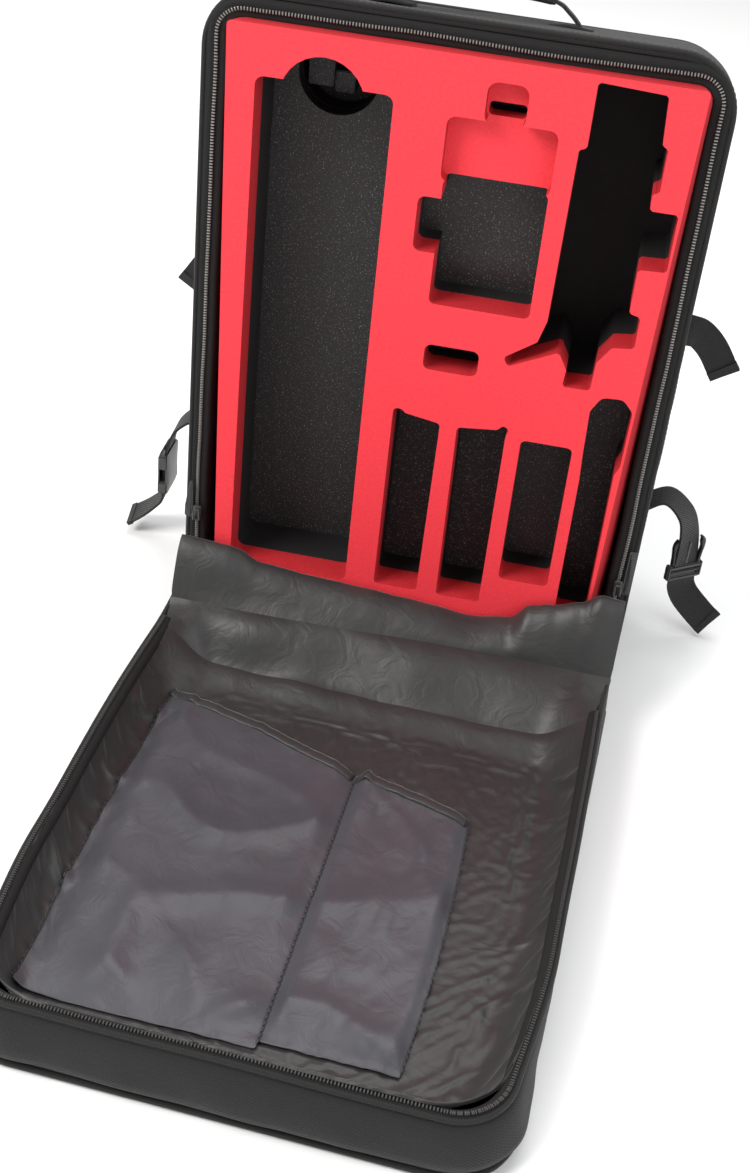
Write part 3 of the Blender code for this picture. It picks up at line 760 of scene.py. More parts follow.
def build_slider(side, sign):
    """Slider with its bail, and the puller that hangs from it."""
    x, z = sign * TAPE_MIDDLE_X, SLIDER_Z
    shape = Pattern()
    wings = round_ring([(x - 0.0026, z - 0.0068), (x + 0.0026, z - 0.0068),
                        (x + 0.0034, z + 0.001), (x + 0.0032, z + 0.0066),
                        (x - 0.0032, z + 0.0066), (x - 0.0034, z + 0.001)], 0.0018, 4)
    plate(shape, wings, 0.0056, 0.0070)
    plate(shape, [(x + (a - x) * 0.55, z + (b - z) * 0.6) for a, b in wings], 0.0066, 0.0086)
    loop = [Vector((x + a, 0.0056 - b, z + c)) for a, b, c in
            ((-0.0022, 0, -0.0048), (-0.0022, 0.0026, -0.0046), (-0.0022, 0.0030, 0.0030),
             (-0.0020, 0.0024, 0.0040), (0.0020, 0.0024, 0.0040), (0.0022, 0.0030, 0.0030),
             (0.0022, 0.0026, -0.0046), (0.0022, 0, -0.0048))]
    shape.sweep(loop, lambda t, p: Vector((0.3, 0.2, 1)), lambda t: ellipse(0.00065, 0.00065, 6), 1)
    sharpen(shape.make(f"{side}_slider_body", [SLIDER_BLACK, CHROME], f"{side}_slider",
                       "slider_metal", [f"{side}_zip_slider"]), 45)
    near, far = sign * 0.1682, sign * 0.1737
    low, high = z - 0.004, z + (0.028 if sign < 0 else 0.034)
    pull = Pattern()
    if sign < 0:
        ring = [(near, low), (far, low + 0.001), (far, low + 0.010), (near - 0.0022, high),
                (near - 0.0008, high), (near, low + 0.020)]
    else:
        ring = [(near, low), (far, low), (far, high), (near, high)]
    ring = round_ring(ring, 0.0012, 4)
    cx, cz = (near + far) / 2, (low + high) / 2
    plate(pull, ring, 0.0055, 0.0072, 0.0003, 0, shrink=0.93)
    inner = [(cx + (a - cx) * 0.62, cz - 0.001 + (b - cz) * 0.84) for a, b in ring]
    plate(pull, inner, 0.0051, 0.0058, 0.0002, 1, shrink=0.9)
    edge = [Vector((a, 0.0057, b)) for a, b in ring]
    pull.sweep(edge, lambda t, p: Vector((0, 1, 0)), lambda t: ellipse(0.0004, 0.0004, 6), 2,
               loop=True)
    finishes = [SLIDER_BLACK, INLAY if sign < 0 else SLIDER_BLACK, CHROME]
    sharpen(pull.make(f"{side}_pull_tab", finishes, f"{side}_puller", "plastic",
                      [f"{side}_zip_puller"]), 45)


build_body_zip()
build_slider("left", -1)
build_slider("right", 1)


# ---- lid: a soft tray lying open on the floor ----
def on_lid(u, v, w):
    """A point u across, v away from the fold and w above the floor."""
    c, s = math.cos(LID_SKEW), math.sin(LID_SKEW)
    return Vector((-HALF_WIDTH + c * u + s * v, 0.006 + s * u - c * v, w))


def lean(v):
    """How far the slumped rim leans in."""
    slump = 0.0110 * ease((v - 0.30) / 0.15)
    return 0.0022 + slump + 0.0018 * ripple(v, 0, 0, 11, 8) * ease(v / 0.08)


def lid_outline(step, inset=0.0, start=0.004):
    return [(x + HALF_WIDTH, z, nx, nz) for x, z, nx, nz in
            u_path(HALF_WIDTH - inset, LID_LENGTH - inset, start, 0.046 - inset, step)]


RIM_W = 0.0462


def rim_height(u, v):
    return RIM_W - 0.0050 * ease(v / LID_LENGTH) + 0.0030 * ripple(u, v, 0, 9, 6)


def lid_point(u, v, nu, nv, off, w):
    return on_lid(u + nu * off, v + nv * off, w)


def build_lid_shell():
    rings = []
    for u, v, nu, nv in lid_outline(0.0045):
        far = ease((v - 0.30) / 0.12)
        top, inward, foot = rim_height(u, v), lean(v), 0.0008 + 0.006 * ease(v / LID_LENGTH)
        rings.append([])
        for off, w in ((-foot, 0.0030), (-foot + 0.0010, 0.0075),
                       (-foot + 0.0016 + 0.006 * far, 0.014),
                       (-0.0008 - 0.001 * far, 0.022), (-inward * 0.35, 0.031),
                       (-inward * 0.75, 0.039), (-inward + 0.0004, top - 0.0022),
                       (-inward - 0.0010, top), (-inward - 0.0036, top),
                       (-inward - 0.0046, top - 0.003), (-inward - 0.0042, 0.034),
                       (-foot - 0.004, 0.014), (-foot - 0.003, 0.0035)):
            crease = (0.0022 * ripple(u, v, w * 2, 18, 8) + 0.0012 * ripple(u, v, w * 1.5, 48, 2))
            crease *= math.sin(math.pi * min(1, max(0, w / top)))
            rings[-1].append(lid_point(u, v, nu, nv, off + crease, w))
    shape = Pattern()
    shape.closed(rings)
    walls = shape.make("lid_gusset", SHELL, "lid", "shell_fabric",
                       ["lid_left_wall", "lid_top_wall", "lid_right_wall"])
    subdivide(walls)
    piping = [lid_point(u, v, nu, nv, -0.0006 - 0.005 * ease(v / LID_LENGTH), 0.0034)
              for u, v, nu, nv in lid_outline(0.0045)]
    tube("lid_piping", piping, 0.0022, BINDING, "lid", "shell_fabric", (0, 0, 1))
    rim = [lid_point(u, v, nu, nv, -lean(v) - 0.0005, rim_height(u, v) + 0.0002)
           for u, v, nu, nv in lid_outline(0.004)]
    tube("lid_rim_binding", rim, 0.0018, BINDING, "lid", "shell_fabric", (0, 0, 1))
    panel = Pattern()
    ring = [(u - LID_MIDDLE - nu * (0.003 + 0.004 * ease(v / 0.45)), v - nv * 0.006)
            for u, v, nu, nv in lid_outline(0.008)]
    rows = []
    for s, w in ((0.02, 0.0036), (0.5, 0.0040), (0.96, 0.0042), (1, 0.0034), (0.99, 0.0024),
                 (0.9, 0.0020), (0.5, 0.0020), (0.02, 0.0020)):
        rows.append([on_lid(LID_MIDDLE + x * s, 0.225 + (v - 0.225) * s, w) for x, v in ring])
    panel.closed(rows)
    panel.make("lid_face", SHELL, "lid", "shell_fabric", ["lid_front_panel"])
    hinge = Pattern()
    rows = []
    for k in range(10):
        w = 0.002 + 0.0420 * k / 9
        rows.append([on_lid(0.004 + 0.340 * j / 60, 0.0036 + 0.0012 * math.sin(math.pi * k / 9)
                            + 0.0008 * ripple(j * 0.006, 0, w, 25, 3), w) for j in range(61)])
    hinge.grid(rows)
    thicken(hinge.make("lid_foot", SHELL, "lid", "shell_fabric", ["lid_hinge_wall"]), 0.002, 0)


def build_front_pocket():
    """Pocket on the outside of the lid, seen when the pack is shut."""
    shape = Pattern()
    ring = finer(round_ring([(0.030, 0.130), (0.318, 0.130), (0.318, 0.425), (0.030, 0.425)],
                            0.040, 8), 0.008)
    rows = []
    for s, w in ((0.02, 0.0018), (1, 0.0018), (1.0, 0.0012), (0.985, 0.0005), (0.9, 0.0002),
                 (0.4, 0.0001), (0.02, 0.0001)):
        rows.append([on_lid(LID_MIDDLE + (u - LID_MIDDLE) * s, 0.277 + (v - 0.277) * s, w)
                     for u, v in ring])
    shape.closed(rows)
    shape.make("front_pocket", SHELL, "lid", "shell_fabric")
    edge = [on_lid(u, v, 0.0016) for u, v in ring]
    tube("front_pocket_piping", edge, 0.0012, BINDING, "lid", "shell_fabric", (0, 0, 1), loop=True)


def build_lid_zip():
    shape, bead = Pattern(), Pattern()
    first = SLIDER_Z + 0.009 - 0.052
    rows, points, normals = [], [], []
    c, s = math.cos(LID_SKEW), math.sin(LID_SKEW)
    for u, v, nu, nv in lid_outline(0.004, start=first):
        base = -lean(v) - 0.0020
        top = rim_height(u, v)
        rows.append([lid_point(u, v, nu, nv, base + off, top + w) for off, w in
                     ((0.0030, -0.0024), (0.0016, 0.0010), (-0.0020, 0.0022), (-0.0050, 0.0016),
                      (-0.0070, -0.001), (-0.0074, -0.004))])
    for u, v, nu, nv in lid_outline(TOOTH_PITCH, start=first + 0.002):
        base = -lean(v) - 0.0036
        points.append(lid_point(u, v, nu, nv, base, rim_height(u, v) + 0.0036))
        normals.append(Vector((c * nu + s * nv, s * nu - c * nv, 0)))
    shape.grid(rows)
    thicken(shape.make("lid_tape", TAPE, "lid", "zip_tape", ["lid_zip_tape"]), 0.0007, 0)
    tooth_row(bead, points, normals, Vector((0, 0, 1)), high=0.0018)
    # the lid's teeth take the darker coil colour, painted shade
    sharpen(bead.make("lid_teeth", TEETH_SHADED, "lid", "zip_teeth", ["lid_zip_chain"]), 50)


build_lid_shell()
build_front_pocket()
build_lid_zip()

LINING_START = 0.070
ACROSS, DOWN = 92, 108


def lining_edge(a, b):
    """Where the lining lies before it is let go: sewn along the rim, slack in between."""
    near = min(a, 1 - a) * LID_WIDTH
    drop = 0.046 - math.sqrt(max(0.0, 0.046**2 - (0.046 - min(near, 0.046)) ** 2))
    end = LID_LENGTH - lean(LID_LENGTH) - 0.0052 - drop
    v = LINING_START + b * (end - LINING_START)
    inset = lean(v) + 0.0052
    u = inset + a * (LID_WIDTH - 2 * inset)
    return u, v, near, (1 - b) * (end - LINING_START)


def lining_height(u, v, near, far, b):
    d = min(near, far)
    low = 0.0085 + 0.010 * (1 - ease(b / 0.10)) + 0.0015 * ripple(u, v, 0, 12, 5)
    slack = 0.0022 * ripple(u, v, 0, 30, 1) * ease(d / 0.02)
    return low + (RIM_W - 0.0016 - low) * (1 - ease(d / 0.046)) ** 1.3 + slack


def let_go(obj, sewn, frames):
    """Drops the cloth under its own weight, held along its sewn edge, and keeps the result."""
    group = obj.vertex_groups.new(name="sewn")
    group.add(sewn, 1.0, "REPLACE")
    bed = Pattern()
    bed.grid([[Vector((x, y, 0.0048)) for x in (-0.4, 0.4)] for y in (-0.6, 0.1)])
    bed = bed.make("bed", SHELL)
    bed.modifiers.new("bed", "COLLISION")
    bed.collision.thickness_outer = 0.002
    cloth = obj.modifiers.new("drape", "CLOTH")
    cloth.settings.quality = 5
    cloth.settings.mass = 0.15
    cloth.settings.tension_stiffness = cloth.settings.compression_stiffness = 12
    cloth.settings.shear_stiffness = 6
    cloth.settings.bending_stiffness = 0.25
    cloth.settings.tension_damping = cloth.settings.compression_damping = 8
    cloth.settings.air_damping = 2
    cloth.settings.vertex_group_mass = "sewn"
    cloth.settings.shrink_min = -0.075
    cloth.collision_settings.distance_min = 0.002
    cloth.point_cache.frame_end = frames
    for number in range(1, frames + 1):
        bpy.context.scene.frame_set(number)
    graph = bpy.context.evaluated_depsgraph_get()
    settled = bpy.data.meshes.new_from_object(obj.evaluated_get(graph), depsgraph=graph)
    obj.modifiers.clear()
    obj.vertex_groups.clear()
    old, obj.data = obj.data, settled
    bpy.data.meshes.remove(old)
    bpy.data.objects.remove(bed)
    bpy.context.scene.frame_set(1)


def build_lining():
    shape, rows = Pattern(), []
    for j in range(DOWN + 1):
        b, row = j / DOWN, []
        for i in range(ACROSS + 1):
            u, v, near, far = lining_edge(i / ACROSS, b)
            row.append(on_lid(u, v, lining_height(u, v, near, far, b)))
        rows.append(row)
    shape.grid(rows)
    lining = shape.make("lid_lining", LINING, recalculate=False)
    border = [j * (ACROSS + 1) + i for j in range(DOWN + 1) for i in range(ACROSS + 1)
              if i in (0, ACROSS) or j in (0, DOWN)]
    before = [v.co.copy() for v in lining.data.vertices]
    let_go(lining, border, 34)
    dress(lining, LINING, None)
    for k, vertex in enumerate(lining.data.vertices):
        row = k // (ACROSS + 1)
        if row < 14:
            vertex.co = before[k].lerp(vertex.co, ease(row / 14))
    subdivide(lining)
    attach(lining, "lid")
    return lining


lining = build_lining()
tree_points = [Vector(v.co) for v in lining.data.vertices]
tree = BVHTree.FromPolygons(tree_points, [tuple(p.vertices) for p in lining.data.polygons])


def lining_top(u, v):
    """Height of the settled lining, the highest within a few millimetres."""
    best = 0.006
    for du, dv in ((0, 0), (0.003, 0), (-0.003, 0), (0, 0.003), (0, -0.003)):
        p = on_lid(u + du, v + dv, 0.2)
        hit = tree.ray_cast(Vector((p.x, p.y + FACE_Y, 0.2)), Vector((0, 0, -1)))[0]
        if hit:
            best = max(best, hit.z)
    return best


def pocket_creases(u, v):
    """Slack folds that run slantwise from the seam and the far corner."""
    s = u * 0.55 + v * 0.83
    swing = ripple(u, v, 0, 9, 4)
    main = (1 - abs(math.sin(math.pi * (s * 9 + 1.1 * swing)))) ** 3
    small = (1 - abs(math.sin(math.pi * ((u * 0.8 - v * 0.5) * 15 + 1.4 * swing)))) ** 4
    return 0.0050 * main + 0.0024 * small + 0.0016 * ripple(u, v, 0, 26, 9)


def build_pocket(name, node, u0, u1, top_edge, last):
    shape, rows = Pattern(), []
    for j in range(61):
        row = []
        for i in range(49):
            p = i / 48
            bulge = 0.004 * math.sin(math.pi * j / 60) * (p if u0 > 0.1 else p - 1)
            u = u0 + (u1 - u0) * p + bulge
            start = top_edge(u)
            v = start + (last - start) * j / 60
            held = min(1.0, min(p, 1 - p) * 9, (60 - j) / 7)
            gape = 0.0035 * math.exp(-j / 5) * math.sin(math.pi * p)
            lift = 0.0012 + ease(held) * (0.0030 + pocket_creases(u, v)) + gape
            row.append(on_lid(u, v, lining_top(u, v) + lift))
        rows.append(row)
    for _ in range(3):
        for j in range(1, 60):
            for i in range(1, 48):
                p = rows[j][i]
                near = (rows[j - 1][i].z + rows[j + 1][i].z
                        + rows[j][i - 1].z + rows[j][i + 1].z) / 4
                p.z = max(p.z * 0.5 + near * 0.5, p.z - 0.0004)
    shape.grid(rows)
    sheet = shape.make(name, POCKET_CLOTH, "lid", "lining", [node])
    subdivide(thicken(sheet, 0.0005, 0))
    hem = Pattern()
    path = spaced([p + Vector((0, 0, 0.0006)) for p in rows[0]], 0.003)
    hem.sweep(path, lambda t, p: Vector((0, 1, 0)), lambda t: band(0.008, 0.0010, 0.0006))
    hem = hem.make(f"{name}_hem", LINING, "lid", "lining")
    for k, column in enumerate((0, 48)):
        path = [row[column] + Vector((0, 0, 0.0009)) for row in rows]
        stitches(f"{name}_seam_{k + 1}", path, (0, 0, 1), "lid", "lining", 0.005, 0.0004)


build_pocket("wide_pocket", "lid_wide_pocket", 0.030, 0.1832,
             lambda u: 0.108 + 0.30 * (u - 0.03), 0.402)
build_pocket("narrow_pocket", "lid_narrow_pocket", 0.1826, 0.270,
             lambda u: 0.154 + 0.22 * (u - 0.18), 0.396)


# ---- soft lip in front of the foam, and the fold that joins lid and body ----
LIP_CREST = [(-174, 90), (-148, 89), (-134, 88), (-128, 86), (-109, 77), (-70, 73), (-48, 72),
             (-24, 71), (6, 68), (28, 66), (58, 63), (88, 68), (102, 83), (118, 87), (139, 94),
             (154, 104), (170, 102)]
LIP_FOOT_Z, LIP_STEPS = 0.050, 110


def crest_height(x):
    x *= 1000
    for (x0, z0), (x1, z1) in zip(LIP_CREST, LIP_CREST[1:]):
        if x <= x1:
            t = max(0.0, (x - x0) / (x1 - x0))
            return (z0 + (z1 - z0) * ease(t)) / 1000
    return LIP_CREST[-1][1] / 1000


def lip_foot(a):
    return Vector((-0.1725 + 0.344 * a, -0.034 - 0.002 * math.sin(7 * a), LIP_FOOT_Z))


def build_lip():
    shape, rows = Pattern(), []
    for k in range(LIP_STEPS + 1):
        a = k / LIP_STEPS
        foot = lip_foot(a)
        x = foot.x
        top = crest_height(x) + 0.0008 * ripple(x, 0, 0, 40, 2)
        drop = top - LIP_FOOT_Z
        row = []
        for y, share in ((-0.0016, 0.25), (-0.0018, 0.62), (-0.0026, 0.90), (-0.0050, 1.0),
                         (-0.0090, 0.99), (-0.0145, 0.90), (-0.0200, 0.72), (-0.0255, 0.48),
                         (-0.0300, 0.24)):
            sag = 0.0022 * ripple(x, y, share, 24, 3) * (1 if y < -0.006 else 0.15)
            row.append(Vector((x, y + sag, LIP_FOOT_Z + drop * share + sag * 0.5)))
        row.append(foot)
        rows.append(row)
    shape.grid(rows)
    lip = shape.make("foam_lip", LINING, "case", "lining")
    subdivide(lip)
    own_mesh(lip)


def build_fold():
    shape, rows = Pattern(), []
    steps = 26
    for k in range(LIP_STEPS + 1):
        a = k / LIP_STEPS
        start = lip_foot(a)
        u, v, near, far = lining_edge(a, 0.0)
        end = on_lid(u, v, lining_height(u, v, near, far, 0.0))
        out, into = Vector((0, -0.030, -0.034)), Vector((0, -0.046, -0.004))
        row = []
        for j in range(steps + 1):
            t = j / steps
            h0, h1 = 2 * t**3 - 3 * t**2 + 1, -2 * t**3 + 3 * t**2
            p = start * h0 + out * (t**3 - 2 * t**2 + t) + end * h1 + into * (t**3 - t**2)
            puff = math.sin(math.pi * t) * (0.0075 + 0.0065 * ripple(p.x, p.y, 0, 16, 6))
            puff *= 0.15 + 0.85 * ease(min(a, 1 - a) / 0.07)
            row.append(p + Vector((0, -0.3, 1)) * puff)
        rows.append(row)
    shape.grid(rows)
    fold = shape.make("hinge_fold", LINING, None, "lining")
    subdivide(fold)
    start = Vector((0, -0.026 + FACE_Y, 0.05))
    end = Vector((0, -0.064 + FACE_Y, 0.03))
    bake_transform(fold, "case", "lid", start=start, end=end)


build_lip()
build_fold()


# ---- handle ----
def build_handle():
    y = 0.070
    base = HEIGHT - CROWN_SLOPE * (y - RIM_Y)
    hinge_z = base + 0.011
    arch = curve_through([(-0.066, y, hinge_z - 0.0075), (-0.058, y, hinge_z),
                          (-0.048, y, hinge_z + 0.006), (-0.024, y, hinge_z + 0.009),
                          (0.024, y, hinge_z + 0.009), (0.048, y, hinge_z + 0.006),
                          (0.058, y, hinge_z), (0.066, y, hinge_z - 0.0075)], 6)
    across = (0, 1, -CROWN_SLOPE)
    shape = Pattern()
    shape.sweep(arch, (across, across), lambda t: band(0.0245, 0.0022), 0)
    grip = [p + Vector((0, 0, 0.0002)) for p in arch if abs(p.x) < 0.050]

    def grip_section(t):
        swell = math.sin(math.pi * t) ** 0.4
        return band(0.021 + 0.004 * swell, 0.0045, 0.0022 * swell)

    shape.sweep(grip, (across, across), grip_section, 1)
    handle = shape.make("carry_handle", [WEBBING, SHELL], "handle", "webbing", ["top_handle"])
    sharpen(handle, 60)
    for k, off in enumerate((-0.0085, 0.0085)):
        path = [p + Vector((0, off, -off * CROWN_SLOPE + 0.0046)) for p in grip[2:-2]]
        stitches(f"handle_stitch_{k + 1}", path, (0, 0, 1), "handle", "webbing")
    for side, sign in (("left", -1), ("right", 1)):
        flap = Pattern()
        rows = []
        for i in range(9):
            yy = y - 0.014 + 0.028 * i / 8
            z = HEIGHT - CROWN_SLOPE * (yy - RIM_Y)
            rows.append([Vector((sign * 0.060 + (j / 10 - 0.5) * 0.030, yy,
                                 z + 0.0022 + 0.0014 * math.sin(math.pi * j / 10)))
                         for j in range(11)])
        flap.grid(rows)
        thicken(flap.make(f"{side}_handle_patch", BINDING, "case", "shell_fabric",
                          [f"{side}_handle_anchor"]), 0.0022, -1)


# ---- shoulder straps ----
def mirrored(points, sign):
    return [(sign * x, y, z) for x, y, z in points]


def build_shoulder_strap(side, sign):
    body = f"{side}_harness"
    route = curve_through(mirrored([(0.055, 0.1670, 0.434), (0.060, 0.190, 0.449),
                                    (0.076, 0.212, 0.430), (0.108, 0.218, 0.376),
                                    (0.142, 0.206, 0.316), (0.164, 0.190, 0.268)], sign), 10)
    first, last = (1, 0, 0), (0.93, -0.25 * sign, 0.25 * sign)  # across the pad, end to end

    def width(t):
        return 0.056 * (1 - 0.18 * ease((t - 0.75) / 0.25))

    shape = Pattern()
    shape.sweep(route, (first, last), lambda t: band(
        width(t), 0.0055 + 0.001 * ease(t * 6), 0.0030 * ease(t * 8) * ease((1 - t) * 8), 11))
    pad = shape.make(f"{side}_strap_pad", SHELL, body, "webbing", [f"{side}_shoulder_strap"])
    sharpen(pad, 60)
    for k, edge in enumerate((-0.5, 0.5)):
        path = []
        for i, p in enumerate(route):
            t = i / (len(route) - 1)
            across = square_to(Vector(first).lerp(Vector(last), t), heading(route, i))
            path.append(p + across * width(t) * edge)
        tube(f"{side}_strap_piping_{k + 1}", path, 0.0021, BINDING, body, "webbing", first)
    web = Pattern()
    lift = []
    for i, p in enumerate(route[4:-2]):
        t = (i + 4) / (len(route) - 1)
        along = heading(route, i + 4)
        out = along.cross(square_to(Vector(first).lerp(Vector(last), t), along))
        out *= 1 if out.y > 0 else -1
        lift.append(p + out * 0.0062)
    web.sweep(lift, (first, last), lambda t: band(0.025, 0.0016))
    sharpen(web.make(f"{side}_strap_webbing", WEBBING, body, "webbing"), 60)
    x = sign * 0.171
    lock = Pattern()
    for z in (0.2275, 0.2410, 0.2545):
        lock.block((x - 0.0155, 0.181, z - 0.0017), (x + 0.0155, 0.1862, z + 0.0017), bevel=0.0012)
    for dx in (-0.0145, 0.0145):
        lock.block((x + dx - 0.0016, 0.1808, 0.226), (x + dx + 0.0016, 0.1864, 0.256),
                   bevel=0.0012)
    sharpen(lock.make(f"{side}_ladder_buckle", ACETAL, body, "plastic",
                      [f"{side}_ladder_lock"]), 40)
    strip = Pattern()
    tail = curve_through(mirrored([(0.1845, 0.1835, 0.2415), (0.190, 0.184, 0.241),
                                   (0.198, 0.186, 0.238), (0.210, 0.188, 0.226),
                                   (0.224, 0.190, 0.204)], sign), 6)
    strip.sweep(tail, ((0, 0.3, 1), (sign * 0.7, 0, 0.7)), lambda t: band(0.025, 0.0018))
    strip.sweep([tail[-1] + Vector((0, 0.0004, 0.0005)), tail[-1] + (tail[-3] - tail[-1]) * 0.9],
                ((sign * 0.7, 0, 0.7), (sign * 0.7, 0, 0.7)), lambda t: band(0.0255, 0.0032))
    sharpen(strip.make(f"{side}_tail_webbing", WEBBING, body, "webbing",
                       [f"{side}_strap_tail"]), 60)
    low = Pattern()
    path = curve_through(mirrored([(0.171, 0.1785, 0.250), (0.172, 0.1775, 0.205),
                                   (0.168, 0.170, 0.140), (0.158, 0.1605, 0.070)], sign), 8)
    low.sweep(path, ((1, 0, 0), (1, 0, 0)), lambda t: band(0.025, 0.0020))
    sharpen(low.make(f"{side}_adjuster_webbing", WEBBING, body, "webbing",
                     [f"{side}_lower_webbing"]), 60)
    for name, node, cx, z0, z1, half in (
        ("strap_patch", "strap_anchor", sign * 0.055, 0.418, 0.452, 0.030),
        ("webbing_patch", "webbing_anchor", sign * 0.156, 0.028, 0.068, 0.016),
    ):
        patch = Pattern()
        ring = finer(round_ring([(cx - half, z0), (cx + half, z0), (cx + half, z1),
                                 (cx - half, z1)], 0.004, 3), 0.004)
        pillow(patch, ring, OUTER_BACK_Y - 0.0004, OUTER_BACK_Y + 0.0050, 0.0006, 6)
        patch.make(f"{side}_{name}", BINDING, "case", "webbing", [f"{side}_{node}"])
        inner = [Vector((cx + (a - cx) * 0.80, OUTER_BACK_Y + 0.0056, (z0 + z1) / 2
                         + (b - (z0 + z1) / 2) * 0.76)) for a, b in ring]
        stitches(f"{side}_{name}_stitch", [*inner, inner[0]], (0, 1, 0), "case", "webbing", 0.0036)


# ---- waist strap and buckle ----
BUCKLE_X, BUCKLE_Y = 0.2215, 0.124
BUCKLE_TWIST = math.radians(-55)  # the right strap twists until its buckle faces forward


def twisted(obj):
    """Turns a piece of the right buckle about the buckle's own upright line."""
    place = Vector((BUCKLE_X, BUCKLE_Y + FACE_Y, 0))
    obj.data.transform(Matrix.Translation(place) @ Matrix.Rotation(BUCKLE_TWIST, 4, "Z")
                       @ Matrix.Translation(-place))
    return obj


def build_waist_strap(side, sign):
    body = f"{side}_waist"
    twist = BUCKLE_TWIST if sign > 0 else 0
    facing = (-math.sin(twist), math.cos(twist), 0)
    route = curve_through(mirrored([(0.1785, 0.126, 0.112), (0.196, 0.126, 0.121),
                                    (0.212, 0.124, 0.110), (0.219, 0.124, 0.092),
                                    (0.2216, 0.124, 0.066), (0.2215, 0.124, 0.056)], sign), 8)
    strap = Pattern()
    strap.sweep(route, ((0, 1, 0.1), facing), lambda t: band(0.025, 0.0020))
    sharpen(strap.make(f"{side}_belt_webbing", WEBBING, body, "webbing",
                       [f"{side}_waist_strap"]), 60)
    if sign > 0:
        route = [(0.2215, 0.124, 0.0500), (0.2222, 0.1238, 0.0405), (0.227, 0.122, 0.032),
                 (0.238, 0.119, 0.022), (0.252, 0.116, 0.011)]
        flare = (0.70, 0.25, 0.60)
    else:
        route = mirrored([(0.2215, 0.124, 0.0500), (0.2228, 0.124, 0.040), (0.228, 0.124, 0.033),
                          (0.240, 0.124, 0.021), (0.254, 0.124, 0.010)], sign)
        flare = (0, 1, 0.2)
    tail = curve_through(route, 6)
    strip = Pattern()
    strip.sweep(tail, (facing, flare), lambda t: band(0.025, 0.0020))
    strip.sweep([tail[-1] + Vector((0, 0, 0.0004)), tail[-1] + (tail[-3] - tail[-1]) * 0.9],
                (flare, flare), lambda t: band(0.0253, 0.0034))
    sharpen(strip.make(f"{side}_belt_tail", WEBBING, body, "webbing", [f"{side}_waist_tail"]), 60)
    patch = Pattern()
    rows = []
    for i in range(13):
        z = 0.098 + 0.028 * i / 12
        rows.append([Vector((sign * (HALF_WIDTH + 0.0012 + 0.0020 * math.sin(math.pi * i / 12)),
                             0.112 + 0.0255 * j / 10, z)) for j in range(11)])
    patch.grid(rows)
    thicken(patch.make(f"{side}_belt_patch", BINDING, "case", "webbing", [f"{side}_waist_anchor"]),
            0.0016, 0)
    x = sign * BUCKLE_X
    if sign > 0:
        frame_part = Pattern()
        for z in (0.0490, 0.0595):
            frame_part.block((x - 0.0030, 0.1085, z - 0.0018), (x + 0.0030, 0.1395, z + 0.0018),
                             bevel=0.0010)
        frame_part.block((x - 0.0012, 0.110, 0.0532), (x + 0.0026, 0.138, 0.0556), bevel=0.0008)
        for y in (0.1085, 0.1395):
            frame_part.block((x - 0.0030, y - 0.0016, 0.0475), (x + 0.0030, y + 0.0016, 0.0620),
                             bevel=0.0011)
        frame_part.block((x - 0.0014, 0.1228, 0.0600), (x + 0.0014, 0.1262, 0.0835), bevel=0.0009)
        frame = frame_part.make("buckle_frame", ACETAL, body, "plastic", ["right_buckle_frame"])
        sharpen(twisted(frame), 40)
        for name, node, y, way in (("front_prong_arm", "buckle_front_prong", 0.1115, -1),
                                   ("back_prong_arm", "buckle_back_prong", 0.1365, 1)):
            prong = Pattern()
            spine = curve_through([(x, y, 0.0626), (x, y + way * 0.0006, 0.070),
                                   (x, y + way * 0.0014, 0.077), (x, y + way * 0.0004, 0.0835),
                                   (x, y - way * 0.0012, 0.0862)], 5)
            prong.sweep(spine, ((1, 0, 0), (1, 0, 0)), lambda t: ellipse(
                0.0025, 0.0016 + 0.0013 * math.exp(-((t - 0.66) / 0.16) ** 2) - 0.0004 * t, 12))
            arm = prong.make(name, ACETAL, name.replace("_arm", ""), "plastic", [node])
            sharpen(twisted(arm), 50)
    else:
        shell = finer(round_ring([(0.107, 0.0475), (0.107, 0.086), (0.141, 0.086),
                                  (0.141, 0.0475)], 0.006, 5), 0.004)
        socket = Pattern()
        for dx, puff in ((-0.0036, 1), (0.0036, -1)):
            rows = []
            for s in (0.98, 1.0, 0.99, 0.9, 0.6, 0.1):
                out = dx - puff * (0.0010 * (1 - s**4) if s < 0.98 else 0) \
                    + puff * (0.0012 if s == 0.98 else 0)
                rows.append([Vector((x + out, 0.124 + (y - 0.124) * s,
                                     0.0667 + (z - 0.0667) * s)) for y, z in shell])
            socket.grid(rows, loop=True).cap(rows[-1])
        for y in (0.1085, 0.1395):
            for low, high in ((0.0490, 0.0600), (0.0720, 0.0850)):
                socket.block((x - 0.0040, y - 0.0016, low), (x + 0.0040, y + 0.0016, high),
                             bevel=0.0010)
        for z in (0.0490, 0.0585):
            socket.block((x - 0.0030, 0.109, z - 0.0016), (x + 0.0030, 0.139, z + 0.0016),
                         bevel=0.0010)
        sharpen(socket.make("buckle_socket", ACETAL, body, "plastic", ["left_buckle_socket"]), 40)


build_handle()
for side, sign in (("left", -1), ("right", 1)):
    build_shoulder_strap(side, sign)
    build_waist_strap(side, sign)


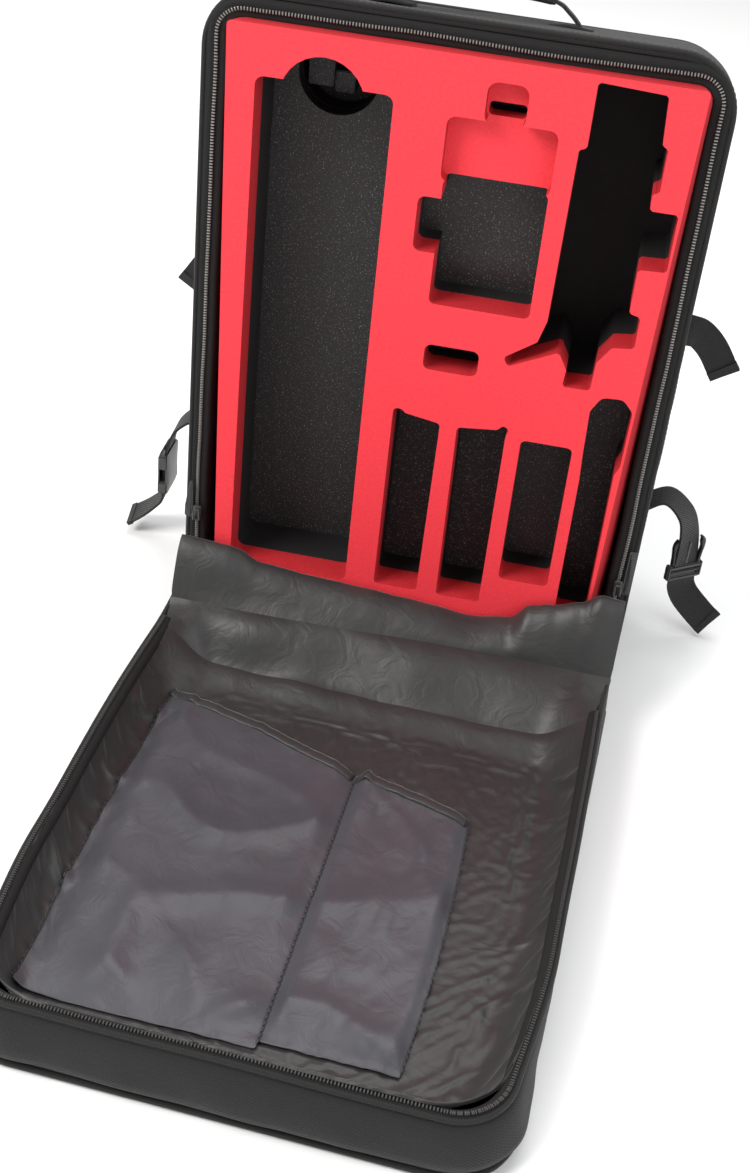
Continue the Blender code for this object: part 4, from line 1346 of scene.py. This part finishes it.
# ---- floor, light and camera ----
def build_stage():
    mesh = bpy.data.meshes.new("floor_board")
    mesh.from_pydata([(-1.9, -1.9, 0), (1.9, -1.9, 0), (1.9, 2.2, 0), (-1.9, 2.2, 0)], [],
                     [(0, 1, 2, 3)])
    floor = bpy.data.objects.new("floor_board", mesh)
    bpy.context.scene.collection.objects.link(floor)
    mesh.materials.append(FLOOR)
    for name, place, size, power, colour in (
        ("key_light", (-1.5, -1.3, 2.1), 1.2, 62, (1.0, 0.985, 0.97)),
        ("fill_light", (1.9, -1.2, 1.5), 1.8, 24, (0.97, 0.985, 1.0)),
        ("top_light", (0.1, 0.9, 2.4), 1.6, 34, (1.0, 1.0, 1.0)),
    ):
        light = bpy.data.lights.new(name, "AREA")
        light.shape, light.size, light.energy, light.color = "SQUARE", size, power, colour
        lamp = bpy.data.objects.new(name, light)
        bpy.context.scene.collection.objects.link(lamp)
        lamp.location = place
        aim = Vector((0, -0.1, 0.2)) - Vector(place)
        lamp.rotation_euler = aim.to_track_quat("-Z", "Y").to_euler()
    world = bpy.data.worlds.new("studio")
    bpy.context.scene.world = world
    world.use_nodes = True
    world.node_tree.nodes["Background"].inputs[0].default_value = (1, 1, 1, 1)
    rays = add_node(world.node_tree, "ShaderNodeLightPath")
    level = add_node(world.node_tree, "ShaderNodeMath",
                     {0: (rays, "Is Camera Ray"), 1: 0.5, 2: 0.5}, operation="MULTIPLY_ADD")
    world.node_tree.links.new(level.outputs[0], world.node_tree.nodes["Background"].inputs[1])
    bpy.context.scene.view_settings.view_transform = "Standard"


CAMERA_PLACE = (0.0974, -1.0189 + FACE_Y, 0.7931)
CAMERA_TURN = (55.524, -5.474, 10.128)  # degrees


def build_camera():
    lens = bpy.data.cameras.new("studio_camera")
    lens.sensor_width, lens.lens = 36, 49.56
    lens.shift_x, lens.shift_y = -0.005115, -0.021313
    camera = bpy.data.objects.new("studio_camera", lens)
    bpy.context.scene.collection.objects.link(camera)
    camera.location = CAMERA_PLACE
    camera.rotation_euler = Euler([math.radians(a) for a in CAMERA_TURN], "XYZ")
    bpy.context.scene.camera = camera


build_stage()
build_camera()
